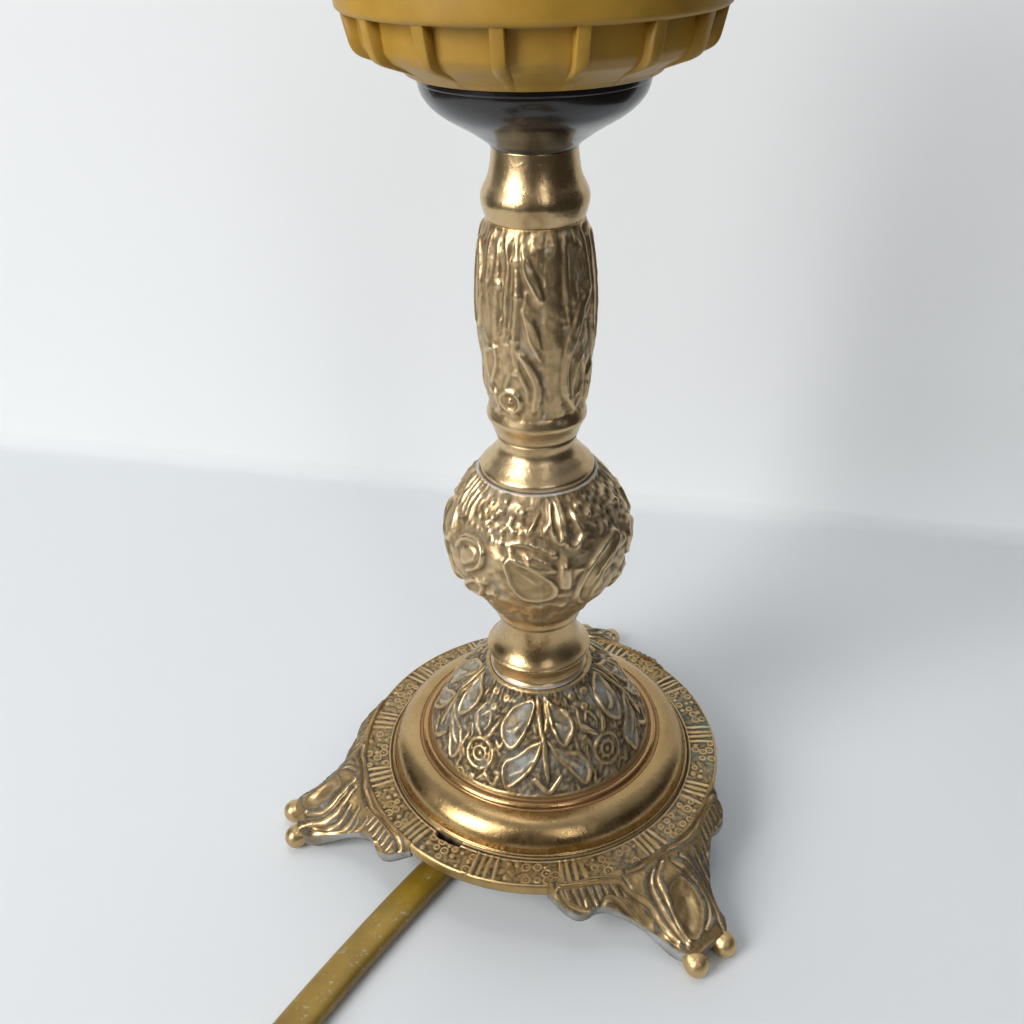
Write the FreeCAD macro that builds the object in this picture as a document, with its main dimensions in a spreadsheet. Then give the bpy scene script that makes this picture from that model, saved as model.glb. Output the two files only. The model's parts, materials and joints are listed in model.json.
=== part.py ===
"""Candlestick lamp: a cast and turned brass stem on a three-footed base, a threaded
lampholder with a shade ring, and a flat mains lead with an in-line switch and a plug.

Millimetres, +Z up. The origin is on the floor, under the axis of the stem.
"""
import FreeCAD, Part
import Sketcher
import math
import os
from types import SimpleNamespace

# ---------------------------------------------------------------- driving dimensions
SIZES = {
    # cast base ring and its three feet
    "ring_top": 15.0,
    "ring_thickness": 3.0,
    "ring_radius": 38.7,
    "ring_opening_radius": 26.5,
    "ring_edge_round": 0.9,
    "front_foot_bearing": 308.0,
    "left_foot_bearing": 193.5,
    "back_foot_bearing": 73.5,
    "foot_reach": 54.6,
    "foot_wall": 2.4,
    "foot_shoulder_half_width": 16.8,
    "foot_ankle_half_width": 6.0,
    "foot_crown_rise": 1.3,
    "toe_radius": 2.5,
    "toe_spread": 3.5,
    "lobe_length": 5.0,
    "lobe_width": 3.0,
    "boss_length": 5.6,
    "boss_width": 2.9,
    # domed casting on the ring
    "dome_radius": 32.3,
    "dome_lip": 0.7,
    "dome_step_radius": 25.95,
    "dome_round_height": 5.3,
    "dome_edge": 0.3,
    "relief_radius": 23.4,
    "relief_foot_rise": 0.9,
    "relief_bulge_radius": 42.0,
    "dome_height": 23.6,
    "dome_wall": 2.4,
    # ball segment
    "spool_radius": 10.75,
    "spool_flange": 1.5,
    "spool_groove": 0.35,
    "spool_shoulder": 3.9,
    "spool_waist_radius": 7.8,
    "spool_waist_height": 10.0,
    "ball_tail_radius": 8.5,
    "ball_tail_height": 13.4,
    "ball_cone_radius": 11.3,
    "ball_cone_height": 18.3,
    "ball_radius": 17.85,
    "ball_height": 46.1,
    # baluster segment
    "collar_radius": 10.55,
    "collar_flange": 1.3,
    "collar_waist_radius": 7.2,
    "collar_waist_height": 6.0,
    "collar_ridge_radius": 9.05,
    "collar_ridge_height": 11.5,
    "baluster_foot_radius": 8.75,
    "baluster_foot_height": 13.6,
    "baluster_bulge_radius": 86.0,
    "baluster_head_radius": 9.05,
    "baluster_head_height": 44.3,
    "baluster_height": 46.3,
    # turned ferrule under the lampholder
    "ferrule_foot_radius": 7.9,
    "ferrule_ridge_radius": 8.87,
    "ferrule_ridge_height": 3.0,
    "ferrule_neck_radius": 6.7,
    "ferrule_neck_height": 8.6,
    "ferrule_height": 11.0,
    # threaded stem pipe and what clamps it
    "pipe_radius": 5.0,
    "pipe_bore_radius": 4.0,
    "stem_clearance": 0.25,
    "thread_clearance": 0.06,
    "pipe_tail": 8.5,
    "pipe_engagement": 5.4,
    "dish_flange_overlap": 6.5,
    "dish_sheet": 1.2,
    "dish_depth": 13.2,
    "dish_crown_radius": 13.5,
    "dish_wall_slope": 5.0,
    "washer_radius": 9.0,
    "washer_thickness": 1.0,
    "nut_across_corners": 17.6,
    "nut_height": 5.0,
    "bushing_radius": 6.6,
    "bushing_height": 3.2,
    "bushing_lip": 1.0,
    # lampholder
    "cap_neck_radius": 6.95,
    "cap_foot_radius": 8.4,
    "cap_foot_height": 1.5,
    "cap_bowl_radius": 17.0,
    "cap_bowl_height": 7.4,
    "cap_bowl_bulge_radius": 26.0,
    "cap_rim_radius": 17.75,
    "cap_rim_round": 3.2,
    "cap_rim_start": 9.8,
    "cap_height": 13.5,
    "cap_wall": 1.85,
    "cap_floor": 5.6,
    "cap_shelf": 8.4,
    "cap_shelf_radius": 12.6,
    "sleeve_thread_radius": 17.85,
    "sleeve_bore_radius": 14.3,
    "sleeve_length": 33.0,
    "sleeve_mouth_lip": 0.8,
    "spigot_depth": 3.7,
    "fit_gap": 0.2,
    "block_height": 8.6,
    "block_flange": 1.4,
    "block_top_recess": 0.6,
    "shell_bore_radius": 13.5,
    "shell_sheet": 0.4,
    "shell_depth": 24.6,
    "shell_hole_radius": 6.0,
    "shell_neck_radius": 12.4,
    "shell_step": 5.0,
    "terminal_offset": 8.0,
    "terminal_head_radius": 2.2,
    "terminal_head_height": 1.8,
    "terminal_shank_radius": 1.5,
    "centre_contact_width": 5.0,
    "centre_contact_sheet": 0.5,
    "centre_contact_rise": 4.5,
    # shade ring
    "shade_ring_drop": 2.5,
    "shade_ring_skirt_radius": 19.35,
    "shade_ring_skirt_height": 6.6,
    "shade_ring_radius": 29.0,
    "shade_ring_band": 7.9,
    "shade_ring_band_wall": 2.0,
    "shade_ring_floor": 1.8,
    "shade_ring_edge": 0.5,
    "shade_ring_rib_reach": 27.6,
    "shade_ring_rib_width": 2.3,
    "shade_ring_rib_count": 16,
    "shade_ring_gap": 0.08,
    # flat twin lead
    "cord_width": 7.0,
    "cord_thickness": 3.5,
    "cord_edge": 1.0,
    "core_radius": 1.1,
    "core_spacing": 3.4,
    "cord_lay_gap": 0.05,
    # in-line switch
    "switch_length": 58.0,
    "switch_width": 25.0,
    "switch_base_height": 8.0,
    "switch_cover_height": 9.5,
    "switch_wall": 1.8,
    "switch_corner": 7.0,
    "switch_edge": 2.2,
    "switch_inlet_height": 5.0,
    "rocker_length": 17.0,
    "rocker_width": 9.0,
    "rocker_depth": 6.5,
    "rocker_gap": 0.6,
    "rocker_tilt": 9.0,
    "rocker_rise": 2.0,
    "rocker_pin_radius": 1.1,
    "running_gap": 0.05,
    "switch_ear": 1.9,
    "switch_screw_offset": 21.5,
    "switch_screw_radius": 1.5,
    "switch_screw_head_radius": 2.7,
    "switch_post_radius": 3.4,
    "switch_contact_length": 7.0,
    "switch_contact_width": 5.0,
    "switch_contact_height": 3.2,
    # plug
    "plug_face_width": 35.0,
    "plug_face_height": 13.7,
    "plug_tail_width": 15.0,
    "plug_tail_height": 11.0,
    "plug_length": 34.0,
    "plug_corner": 4.5,
    "plug_pin_radius": 2.0,
    "plug_pin_length": 19.0,
    "plug_pin_spacing": 18.6,
    "plug_sleeve_length": 10.0,
    "plug_sleeve_sheet": 0.3,
    "relief_length": 20.0,
    "relief_width": 11.0,
    "relief_height": 8.0,
    "relief_tip_margin": 1.0,
    # coil of put-away lead
    "bend_radius": 80.0,
    "bend_angle": 50.0,
    "bend_runs": 4,
    "coil_radius": 50.5,
    "coil_pitch": 7.55,
    "coil_lift": 0.8,
    "coil_layer": 4.15,
    "coil_exit_bearing": 12.0,
    "coil_whole_turns": 6,
    "coil_run_out": 18.0,
    "tie_sheet": 0.6,
    "tie_width": 4.0,
    "tie_room": 0.4,
    "tie_slack": 0.6,
    "tie_bearing": 118.0,
}

# The lead, from the lower end of the stem over the floor to the switch. Each point is
# where two straight runs would meet.
LEAD_ROUTE = [
    (0.0, 0.0, 15.0),
    (0.0, 0.0, 8.0),
    (-4.6, -4.3, 1.8),
    (-12.3, -12.4, 1.8),
    (-22.3, -24.9, 1.8),
    (-33.5, -41.2, 1.8),
    (-44.4, -58.4, 1.8),
    (-49.0, -67.6, 3.2),
    (-52.0, -77.2, 5.0),
    (-53.5, -87.0, 5.0),
]
CORNER_SHARE = 0.45      # of the shorter run, taken by the arc at each point of a route


class Length:
    """A size and the formula that gives it, so that a drawing and its sheet agree."""

    def __init__(self, value, formula):
        self.value = float(value)
        self.formula = formula

    @staticmethod
    def of(other):
        if isinstance(other, Length):
            return other
        return Length(other, repr(float(other)))

    def __add__(self, other):
        other = Length.of(other)
        return Length(self.value + other.value, f"({self.formula} + {other.formula})")

    def __sub__(self, other):
        other = Length.of(other)
        return Length(self.value - other.value, f"({self.formula} - {other.formula})")

    def __mul__(self, other):
        other = Length.of(other)
        return Length(self.value * other.value, f"({self.formula} * {other.formula})")

    def __truediv__(self, other):
        other = Length.of(other)
        return Length(self.value / other.value, f"({self.formula} / {other.formula})")

    def __neg__(self):
        return Length(-self.value, f"(0 - {self.formula})")


doc = FreeCAD.newDocument("CandlestickLamp")
sheet = doc.addObject("Spreadsheet::Sheet", "Sizes")
for row, (name, number) in enumerate(SIZES.items(), start=1):
    sheet.set(f"A{row}", name)
    sheet.set(f"B{row}", str(number))
    sheet.setAlias(f"B{row}", name)
doc.recompute()
d = SimpleNamespace(**{
    name: Length(getattr(sheet, name), f"Sizes.{name}") for name in SIZES
})
NODES = []


def node(thing, label):
    """Give a finished object its label and keep it for the export."""
    thing.Label = label
    NODES.append(thing)
    return thing


def bind(thing, **sizes):
    """Tie properties of an object to the sheet."""
    for name, length in sizes.items():
        length = Length.of(length)
        setattr(thing, name, length.value)
        thing.setExpression(name, length.formula)
    return thing


def add(kind, name, **sizes):
    return bind(doc.addObject(kind, name), **sizes)


# ---------------------------------------------------------------- sketches and turning
def plane_of(body, role):
    return [f for f in body.Origin.OriginFeatures if f.Role == role][0]


def draw(body, outline, role="XZ_Plane"):
    """A closed sketch. A step of the outline is a point, or a point with the radius
    of the arc that leads to it: positive when the arc turns to the left."""
    sketch = body.newObject("Sketcher::SketchObject", "Outline")
    sketch.AttachmentSupport = [(plane_of(body, role), "")]
    sketch.MapMode = "FlatFace"
    outline = [tuple(Length.of(part) for part in step) for step in outline]
    count = len(outline)
    for index in range(count):
        start, end = outline[index - 1], outline[index]
        a = FreeCAD.Vector(start[0].value, start[1].value, 0)
        b = FreeCAD.Vector(end[0].value, end[1].value, 0)
        if len(end) == 2:
            sketch.addGeometry(Part.LineSegment(a, b), False)
            continue
        sketch.addGeometry(arc_between(a, b, end[2].value), False)
    for index in range(count):
        turn_left = len(outline[index]) == 2 or outline[index][2].value > 0
        next_left = len(outline[(index + 1) % count]) == 2 \
            or outline[(index + 1) % count][2].value > 0
        here = 2 if turn_left else 1
        there = 1 if next_left else 2
        sketch.addConstraint(Sketcher.Constraint(
            "Coincident", index, here, (index + 1) % count, there))
    for index, step in enumerate(outline):
        end = 2 if len(step) == 2 or step[2].value > 0 else 1
        for way, length in zip(("DistanceX", "DistanceY"), step):
            if abs(length.value) < 1e-9:
                axis = -2 if way == "DistanceX" else -1
                sketch.addConstraint(Sketcher.Constraint("PointOnObject", index, end, axis))
                continue
            pin_down(sketch, Sketcher.Constraint(way, -1, 1, index, end, length.value), length)
        if len(step) == 3:
            size = step[2] if step[2].value > 0 else -step[2]
            pin_down(sketch, Sketcher.Constraint("Radius", index, size.value), size)
    return sketch


def pin_down(sketch, constraint, length):
    place = sketch.addConstraint(constraint)
    sketch.setExpression(f"Constraints[{place}]", length.formula)


def arc_between(a, b, radius):
    """The short arc from a to b. A positive radius turns left on the way."""
    chord = b - a
    half = chord.Length / 2
    reach = math.sqrt(max(radius * radius - half * half, 0.0))
    left = FreeCAD.Vector(-chord.y, chord.x, 0).normalize()
    centre = (a + b) * 0.5 + left * (reach if radius > 0 else -reach)
    first, last = (a, b) if radius > 0 else (b, a)
    begin = math.atan2(first.y - centre.y, first.x - centre.x)
    finish = math.atan2(last.y - centre.y, last.x - centre.x)
    circle = Part.Circle(centre, FreeCAD.Vector(0, 0, 1), abs(radius))
    return Part.ArcOfCircle(circle, begin, finish)


def turned(label, outline):
    """A body turned about the stem's axis from an outline of radius and height."""
    body = doc.addObject("PartDesign::Body", label + "_body")
    sketch = draw(body, outline)
    turn = body.newObject("PartDesign::Revolution", "Turning")
    turn.Profile = sketch
    turn.ReferenceAxis = (sketch, ["V_Axis"])
    turn.Angle = 360.0
    body.Tip = turn
    doc.recompute()
    return node(body, label)


# ---------------------------------------------------------------- heights that stack up
ring_underside = d.ring_top - d.ring_thickness
dome_round_top = d.ring_top + d.dome_lip + d.dome_round_height
relief_foot = dome_round_top + d.relief_foot_rise
dome_top = d.ring_top + d.dome_height
ball_top = dome_top + d.ball_height
baluster_top = ball_top + d.baluster_height
ferrule_top = baluster_top + d.ferrule_height
cap_top = ferrule_top + d.cap_height
sleeve_top = cap_top + d.sleeve_length
cap_shelf_z = ferrule_top + d.cap_shelf
block_top = cap_shelf_z + d.block_height
shell_top = block_top + d.shell_sheet + d.shell_depth
shade_ring_foot = cap_top - d.shade_ring_drop
dish_top = ring_underside + d.dish_depth
nut_top = dish_top - d.dish_sheet - d.washer_thickness
nut_foot = nut_top - d.nut_height
pipe_foot = nut_foot - (d.bushing_height - d.bushing_lip)
pipe_top = ferrule_top + d.pipe_engagement
stem_bore = d.pipe_radius + d.stem_clearance


# ---------------------------------------------------------------- base casting
def foot_section(reach, half_width, crown, edge, wall):
    """One slice across a foot: an arched strip, hollow below."""
    def at(side, height):
        return FreeCAD.Vector(reach, side, height)
    outer = Part.Arc(at(-half_width, edge), at(0, crown), at(half_width, edge))
    inner_side = half_width - wall
    inner = Part.Arc(at(inner_side, edge), at(0, crown - wall), at(-inner_side, edge))
    edges = [
        outer.toShape(),
        Part.LineSegment(at(half_width, edge), at(inner_side, edge)).toShape(),
        inner.toShape(),
        Part.LineSegment(at(-inner_side, edge), at(-half_width, edge)).toShape(),
    ]
    return Part.Wire(edges)


def foot_shape():
    """A cabriole foot along +X: an arched strip that narrows and falls to two ball
    toes, with a scrolled lobe each side of its shoulder and a teardrop boss."""
    wall = d.foot_wall.value
    top = d.ring_top.value
    under = ring_underside.value
    rim = d.ring_radius.value
    reach = d.foot_reach.value
    shoulder = d.foot_shoulder_half_width.value
    ankle = d.foot_ankle_half_width.value
    toe = d.toe_radius.value
    fall = reach - rim
    crest = top + d.foot_crown_rise.value
    slim = shoulder - ankle
    slices = [
        (rim - 4.8, shoulder, top - 0.3, under - 0.4),
        (rim - 0.9, shoulder - 0.12 * slim, crest, under - 1.2),
        (rim + 0.16 * fall, shoulder - 0.42 * slim, top + 0.1, 0.78 * under),
        (rim + 0.42 * fall, shoulder - 0.68 * slim, 0.83 * top, 0.50 * under),
        (rim + 0.66 * fall, shoulder - 0.87 * slim, 0.61 * top, 0.20 * under),
        (rim + 0.87 * fall, ankle, 2.65 * toe, 0.0),
        (reach + 0.5, ankle - 0.3, 1.9 * toe, 0.0),
    ]
    strip = Part.makeLoft([foot_section(*s, wall) for s in slices], True, False)
    pieces = [strip]
    for side in (-1, 1):
        ball = Part.makeSphere(toe, FreeCAD.Vector(reach, side * d.toe_spread.value, toe - 0.15))
        pieces.append(ball)
        turn = math.radians(28.0) * side
        lobe = ellipsoid(d.lobe_length.value, d.lobe_width.value, 0.55 * d.lobe_length.value)
        lobe.rotate(FreeCAD.Vector(), FreeCAD.Vector(0, 0, 1), math.degrees(turn) + 90.0)
        lobe.translate(FreeCAD.Vector(rim - 1.2, side * shoulder, top - 1.6))
        pieces.append(lobe)
    boss = ellipsoid(d.boss_length.value, d.boss_width.value, d.boss_width.value)
    slope = math.degrees(math.atan2(0.49 * top, 0.62 * fall))
    boss.rotate(FreeCAD.Vector(), FreeCAD.Vector(0, 1, 0), slope)
    boss.translate(FreeCAD.Vector(rim + 0.55 * fall, 0, 0.67 * top))
    pieces.append(boss)
    foot = pieces[0].multiFuse(pieces[1:])
    hollow = Part.makeBox(fall + 40, 80, 20, FreeCAD.Vector(rim - 20, -40, -20))
    return foot.cut(hollow).removeSplitter()


def ellipsoid(along, across, up):
    stretch = FreeCAD.Matrix()
    stretch.scale(FreeCAD.Vector(along, across, up))
    return Part.makeSphere(1.0).transformGeometry(stretch)


def base_casting():
    body = doc.addObject("PartDesign::Body", "ring_body")
    sketch = draw(body, [
        (d.ring_opening_radius, ring_underside),
        (d.ring_radius - d.ring_edge_round, ring_underside),
        (d.ring_radius, ring_underside + d.ring_edge_round, d.ring_edge_round),
        (d.ring_radius, d.ring_top - d.ring_edge_round),
        (d.ring_radius - d.ring_edge_round, d.ring_top, d.ring_edge_round),
        (d.ring_opening_radius, d.ring_top),
    ])
    turn = body.newObject("PartDesign::Revolution", "Turning")
    turn.Profile = sketch
    turn.ReferenceAxis = (sketch, ["V_Axis"])
    turn.Angle = 360.0
    body.Tip = turn
    doc.recompute()
    pieces = [body]
    shape = foot_shape()
    for name in ("front_foot_bearing", "left_foot_bearing", "back_foot_bearing"):
        foot = doc.addObject("Part::Feature", name.replace("_bearing", ""))
        foot.Shape = shape
        foot.Placement = FreeCAD.Placement(
            FreeCAD.Vector(), FreeCAD.Rotation(FreeCAD.Vector(0, 0, 1), getattr(d, name).value))
        pieces.append(foot)
    whole = doc.addObject("Part::MultiFuse", "base")
    whole.Shapes = pieces
    bore = add("Part::Cylinder", "ring_opening", Radius=d.ring_opening_radius,
               Height=d.ring_top * 2)
    cut = doc.addObject("Part::Cut", "base_cut")
    cut.Base = whole
    cut.Tool = bore
    node(cut, "base_casting")


base_casting()

# ---------------------------------------------------------------- turned brass pieces
dome_inner_foot = d.dome_radius - d.dome_wall - 0.4
turned("dome_casting", [
    (dome_inner_foot, d.ring_top),
    (d.dome_radius, d.ring_top),
    (d.dome_radius, d.ring_top + d.dome_lip),
    (d.dome_step_radius, dome_round_top, d.dome_round_height + 0.9),
    (d.dome_step_radius - d.dome_edge, dome_round_top + d.dome_edge),
    (d.relief_radius + 0.4, dome_round_top + d.dome_edge),
    (d.relief_radius, relief_foot),
    (d.spool_radius + 0.15, dome_top - 0.3, d.relief_bulge_radius),
    (d.spool_radius, dome_top),
    (stem_bore, dome_top),
    (stem_bore, dome_top - d.dome_wall),
    (d.spool_radius - 1.5, dome_top - d.dome_wall),
    (d.relief_radius - d.dome_wall, relief_foot - 0.5, -d.relief_bulge_radius),
    (dome_inner_foot, d.ring_top + d.dome_lip + 0.9),
])

turned("ball_segment", [
    (stem_bore, dome_top),
    (d.spool_radius, dome_top),
    (d.spool_radius, dome_top + d.spool_flange),
    (d.spool_radius - d.spool_groove, dome_top + d.spool_flange + 0.3),
    (d.spool_radius - d.spool_groove, dome_top + d.spool_shoulder),
    (d.spool_waist_radius, dome_top + d.spool_waist_height, -(d.spool_waist_height - 1.6)),
    (d.ball_tail_radius, dome_top + d.ball_tail_height),
    (d.ball_cone_radius, dome_top + d.ball_cone_height, -(d.ball_tail_height - 2.0)),
    (d.collar_radius + 0.5, ball_top, d.ball_radius),
    (stem_bore, ball_top),
])

turned("baluster_segment", [
    (stem_bore, ball_top),
    (d.collar_radius, ball_top),
    (d.collar_radius, ball_top + d.collar_flange),
    (d.collar_waist_radius, ball_top + d.collar_waist_height, -(d.collar_waist_height - 0.2)),
    (d.collar_ridge_radius, ball_top + d.collar_ridge_height, -(d.collar_ridge_height - 1.8)),
    (d.collar_ridge_radius - 0.4, ball_top + d.collar_ridge_height + 1.0),
    (d.baluster_foot_radius, ball_top + d.baluster_foot_height),
    (d.baluster_head_radius, ball_top + d.baluster_head_height, d.baluster_bulge_radius),
    (d.ferrule_foot_radius, baluster_top),
    (stem_bore, baluster_top),
])

turned("top_ferrule", [
    (stem_bore, baluster_top),
    (d.ferrule_foot_radius, baluster_top),
    (d.ferrule_ridge_radius, baluster_top + d.ferrule_ridge_height, d.ferrule_ridge_height + 0.6),
    (d.ferrule_ridge_radius - 0.1, baluster_top + d.ferrule_ridge_height + 1.4),
    (d.ferrule_neck_radius, baluster_top + d.ferrule_neck_height, -(d.ferrule_neck_height - 1.0)),
    (d.ferrule_neck_radius - 0.1, ferrule_top),
    (stem_bore, ferrule_top),
])

turned("stem_pipe", [
    (d.pipe_bore_radius, pipe_foot),
    (d.pipe_radius, pipe_foot),
    (d.pipe_radius, pipe_top),
    (d.pipe_bore_radius, pipe_top),
])

# ---------------------------------------------------------------- clamp under the base
turned("clamp_dish", [
    (stem_bore, dish_top - d.dish_sheet),
    (d.dish_crown_radius - d.dish_sheet, dish_top - d.dish_sheet),
    (d.dish_crown_radius + d.dish_wall_slope - d.dish_sheet, ring_underside - d.dish_sheet),
    (d.ring_opening_radius + d.dish_flange_overlap, ring_underside - d.dish_sheet),
    (d.ring_opening_radius + d.dish_flange_overlap, ring_underside),
    (d.dish_crown_radius + d.dish_wall_slope, ring_underside),
    (d.dish_crown_radius, dish_top),
    (stem_bore, dish_top),
])

turned("spring_washer", [
    (stem_bore, nut_top),
    (d.washer_radius, nut_top),
    (d.washer_radius, nut_top + d.washer_thickness),
    (stem_bore, nut_top + d.washer_thickness),
])


def clamp_nut():
    hexagon = add("Part::Prism", "nut_hexagon", Circumradius=d.nut_across_corners / 2,
                  Height=d.nut_height)
    hexagon.Polygon = 6
    thread = add("Part::Cylinder", "nut_thread", Radius=d.pipe_radius + d.thread_clearance,
                 Height=d.nut_height)
    nut = doc.addObject("Part::Cut", "nut")
    nut.Base = hexagon
    nut.Tool = thread
    nut.Placement.Base = FreeCAD.Vector(0, 0, nut_foot.value)
    nut.setExpression("Placement.Base.z", nut_foot.formula)
    node(nut, "clamp_nut")


clamp_nut()

turned("cord_bushing", [
    (d.pipe_radius + d.thread_clearance, pipe_foot),
    (d.pipe_radius + d.thread_clearance, nut_foot),
    (d.bushing_radius - 0.5, nut_foot),
    (d.bushing_radius, nut_foot - 0.5),
    (d.bushing_radius, pipe_foot - d.bushing_lip + 0.4),
    (d.bushing_radius - 0.4, pipe_foot - d.bushing_lip),
    (d.pipe_bore_radius + 0.4, pipe_foot - d.bushing_lip),
    (d.pipe_bore_radius, pipe_foot - d.bushing_lip + 0.4),
    (d.pipe_bore_radius, pipe_foot),
])

# ---------------------------------------------------------------- lampholder
cap_cavity = d.cap_rim_radius - d.cap_wall
turned("holder_cap", [
    (d.pipe_radius + d.thread_clearance, ferrule_top),
    (d.cap_neck_radius, ferrule_top),
    (d.cap_foot_radius, ferrule_top + d.cap_foot_height, d.cap_foot_height + 1.6),
    (d.cap_bowl_radius, ferrule_top + d.cap_bowl_height, d.cap_bowl_bulge_radius),
    (d.cap_rim_radius, ferrule_top + d.cap_rim_start, d.cap_rim_round),
    (d.cap_rim_radius, cap_top),
    (cap_cavity, cap_top),
    (cap_cavity, cap_shelf_z),
    (d.cap_shelf_radius, cap_shelf_z),
    (d.cap_shelf_radius - 2.6, ferrule_top + d.cap_floor),
    (d.pipe_radius + d.thread_clearance, ferrule_top + d.cap_floor),
])

turned("holder_sleeve", [
    (d.sleeve_bore_radius, cap_top - d.spigot_depth),
    (cap_cavity - d.fit_gap, cap_top - d.spigot_depth),
    (cap_cavity - d.fit_gap, cap_top),
    (d.sleeve_thread_radius, cap_top),
    (d.sleeve_thread_radius, sleeve_top - d.sleeve_mouth_lip),
    (d.sleeve_thread_radius - d.sleeve_mouth_lip, sleeve_top),
    (d.sleeve_bore_radius, sleeve_top),
])


def contact_block():
    """The ceramic block: a flanged plug with two holes for the terminal screws."""
    body = doc.addObject("PartDesign::Body", "block_body")
    sketch = draw(body, [
        (0, cap_shelf_z),
        (cap_cavity - d.fit_gap, cap_shelf_z),
        (cap_cavity - d.fit_gap, cap_top - d.spigot_depth),
        (d.sleeve_bore_radius - d.fit_gap, cap_top - d.spigot_depth),
        (d.sleeve_bore_radius - d.fit_gap, block_top),
        (0, block_top),
    ])
    turn = body.newObject("PartDesign::Revolution", "Turning")
    turn.Profile = sketch
    turn.ReferenceAxis = (sketch, ["V_Axis"])
    turn.Angle = 360.0
    body.Tip = turn
    doc.recompute()
    tools = []
    for side in (-1, 1):
        hole = add("Part::Cylinder", "terminal_hole", Height=d.block_height * 2,
                   Radius=d.terminal_shank_radius + d.thread_clearance)
        hole.setExpression("Placement.Base.x", (d.terminal_offset * side).formula)
        hole.setExpression("Placement.Base.z", ferrule_top.formula)
        tools.append(hole)
    both = doc.addObject("Part::MultiFuse", "terminal_holes")
    both.Shapes = tools
    block = doc.addObject("Part::Cut", "block")
    block.Base = body
    block.Tool = both
    node(block, "contact_block")


contact_block()

# The shell has a neck round the centre contact, and is wider above it.
turned("screw_shell", [
    (d.shell_hole_radius, block_top),
    (d.shell_neck_radius + d.shell_sheet, block_top),
    (d.shell_neck_radius + d.shell_sheet, block_top + d.shell_step),
    (d.shell_bore_radius + d.shell_sheet, block_top + d.shell_step),
    (d.shell_bore_radius + d.shell_sheet, shell_top),
    (d.shell_bore_radius, shell_top),
    (d.shell_bore_radius, block_top + d.shell_step + d.shell_sheet),
    (d.shell_neck_radius, block_top + d.shell_step + d.shell_sheet),
    (d.shell_neck_radius, block_top + d.shell_sheet),
    (d.shell_hole_radius, block_top + d.shell_sheet),
])


def terminal_screws():
    screws = []
    for side in (-1, 1):
        head = add("Part::Cylinder", "screw_head", Radius=d.terminal_head_radius,
                   Height=d.terminal_head_height)
        head.setExpression("Placement.Base.x", (d.terminal_offset * side).formula)
        head.setExpression(
            "Placement.Base.z", (cap_shelf_z - d.terminal_head_height).formula)
        shank = add("Part::Cylinder", "screw_shank", Radius=d.terminal_shank_radius,
                    Height=d.block_height)
        shank.setExpression("Placement.Base.x", (d.terminal_offset * side).formula)
        shank.setExpression("Placement.Base.z", cap_shelf_z.formula)
        screw = doc.addObject("Part::MultiFuse", "screw")
        screw.Shapes = [head, shank]
        screws.append(screw)
    pair = doc.addObject("Part::Compound", "screws")
    pair.Links = screws
    node(pair, "terminal_screws")


terminal_screws()


def extruded(label, outline, depth, role="XZ_Plane"):
    """A body pressed or moulded to one outline, even each side of its plane."""
    body = doc.addObject("PartDesign::Body", label + "_body")
    sketch = draw(body, outline, role)
    pad = body.newObject("PartDesign::Pad", "Pad")
    pad.Profile = sketch
    pad.Midplane = True
    bind(pad, Length=depth)
    body.Tip = pad
    doc.recompute()
    return body


def centre_contact():
    sheet_metal = d.centre_contact_sheet
    foot = block_top
    half = d.shell_hole_radius - 2.0
    body = extruded("centre_contact", [
        (-half, foot),
        (half, foot),
        (half, foot + sheet_metal),
        (-half + sheet_metal * 2, foot + sheet_metal),
        (-half + sheet_metal * 2, foot + sheet_metal * 2),
        (half - 1.0, foot + d.centre_contact_rise - sheet_metal),
        (half - 1.0, foot + d.centre_contact_rise),
        (-half, foot + sheet_metal * 3),
    ], d.centre_contact_width)
    node(body, "centre_contact")


centre_contact()


def shade_ring():
    """Moulded ring with an inner thread, a tray-shaped flange and gusset ribs."""
    inner = d.sleeve_thread_radius + d.shade_ring_gap
    flange = shade_ring_foot + d.shade_ring_skirt_height
    top = flange + d.shade_ring_band
    body = doc.addObject("PartDesign::Body", "shade_ring_body")
    sketch = draw(body, [
        (inner, shade_ring_foot),
        (d.shade_ring_skirt_radius, shade_ring_foot),
        (d.shade_ring_skirt_radius + 0.25, flange),
        (d.shade_ring_radius - d.shade_ring_edge, flange),
        (d.shade_ring_radius, flange + d.shade_ring_edge),
        (d.shade_ring_radius, top - d.shade_ring_edge),
        (d.shade_ring_radius - d.shade_ring_edge, top),
        (d.shade_ring_radius - d.shade_ring_band_wall, top),
        (d.shade_ring_radius - d.shade_ring_band_wall, flange + d.shade_ring_floor),
        (d.shade_ring_skirt_radius + 0.6, flange + d.shade_ring_floor),
        (d.shade_ring_skirt_radius + 0.6, top - d.shade_ring_edge),
        (inner, top - d.shade_ring_edge),
    ])
    turn = body.newObject("PartDesign::Revolution", "Turning")
    turn.Profile = sketch
    turn.ReferenceAxis = (sketch, ["V_Axis"])
    turn.Angle = 360.0
    doc.recompute()
    rib = draw(body, [
        (d.shade_ring_skirt_radius - 0.4, shade_ring_foot + 0.2),
        (d.shade_ring_skirt_radius + 0.5, shade_ring_foot + 0.2),
        (d.shade_ring_rib_reach, flange - d.shade_ring_skirt_height / 3),
        (d.shade_ring_rib_reach, flange + 0.3),
        (d.shade_ring_skirt_radius - 0.4, flange + 0.3),
    ])
    pad = body.newObject("PartDesign::Pad", "Rib")
    pad.Profile = rib
    pad.Midplane = True
    bind(pad, Length=d.shade_ring_rib_width)
    doc.recompute()
    ribs = body.newObject("PartDesign::PolarPattern", "Ribs")
    ribs.Originals = [pad]
    ribs.Axis = (sketch, ["V_Axis"])
    ribs.Angle = 360.0
    ribs.setExpression("Occurrences", d.shade_ring_rib_count.formula)
    body.Tip = ribs
    doc.recompute()
    node(body, "shade_ring")


shade_ring()


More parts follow.
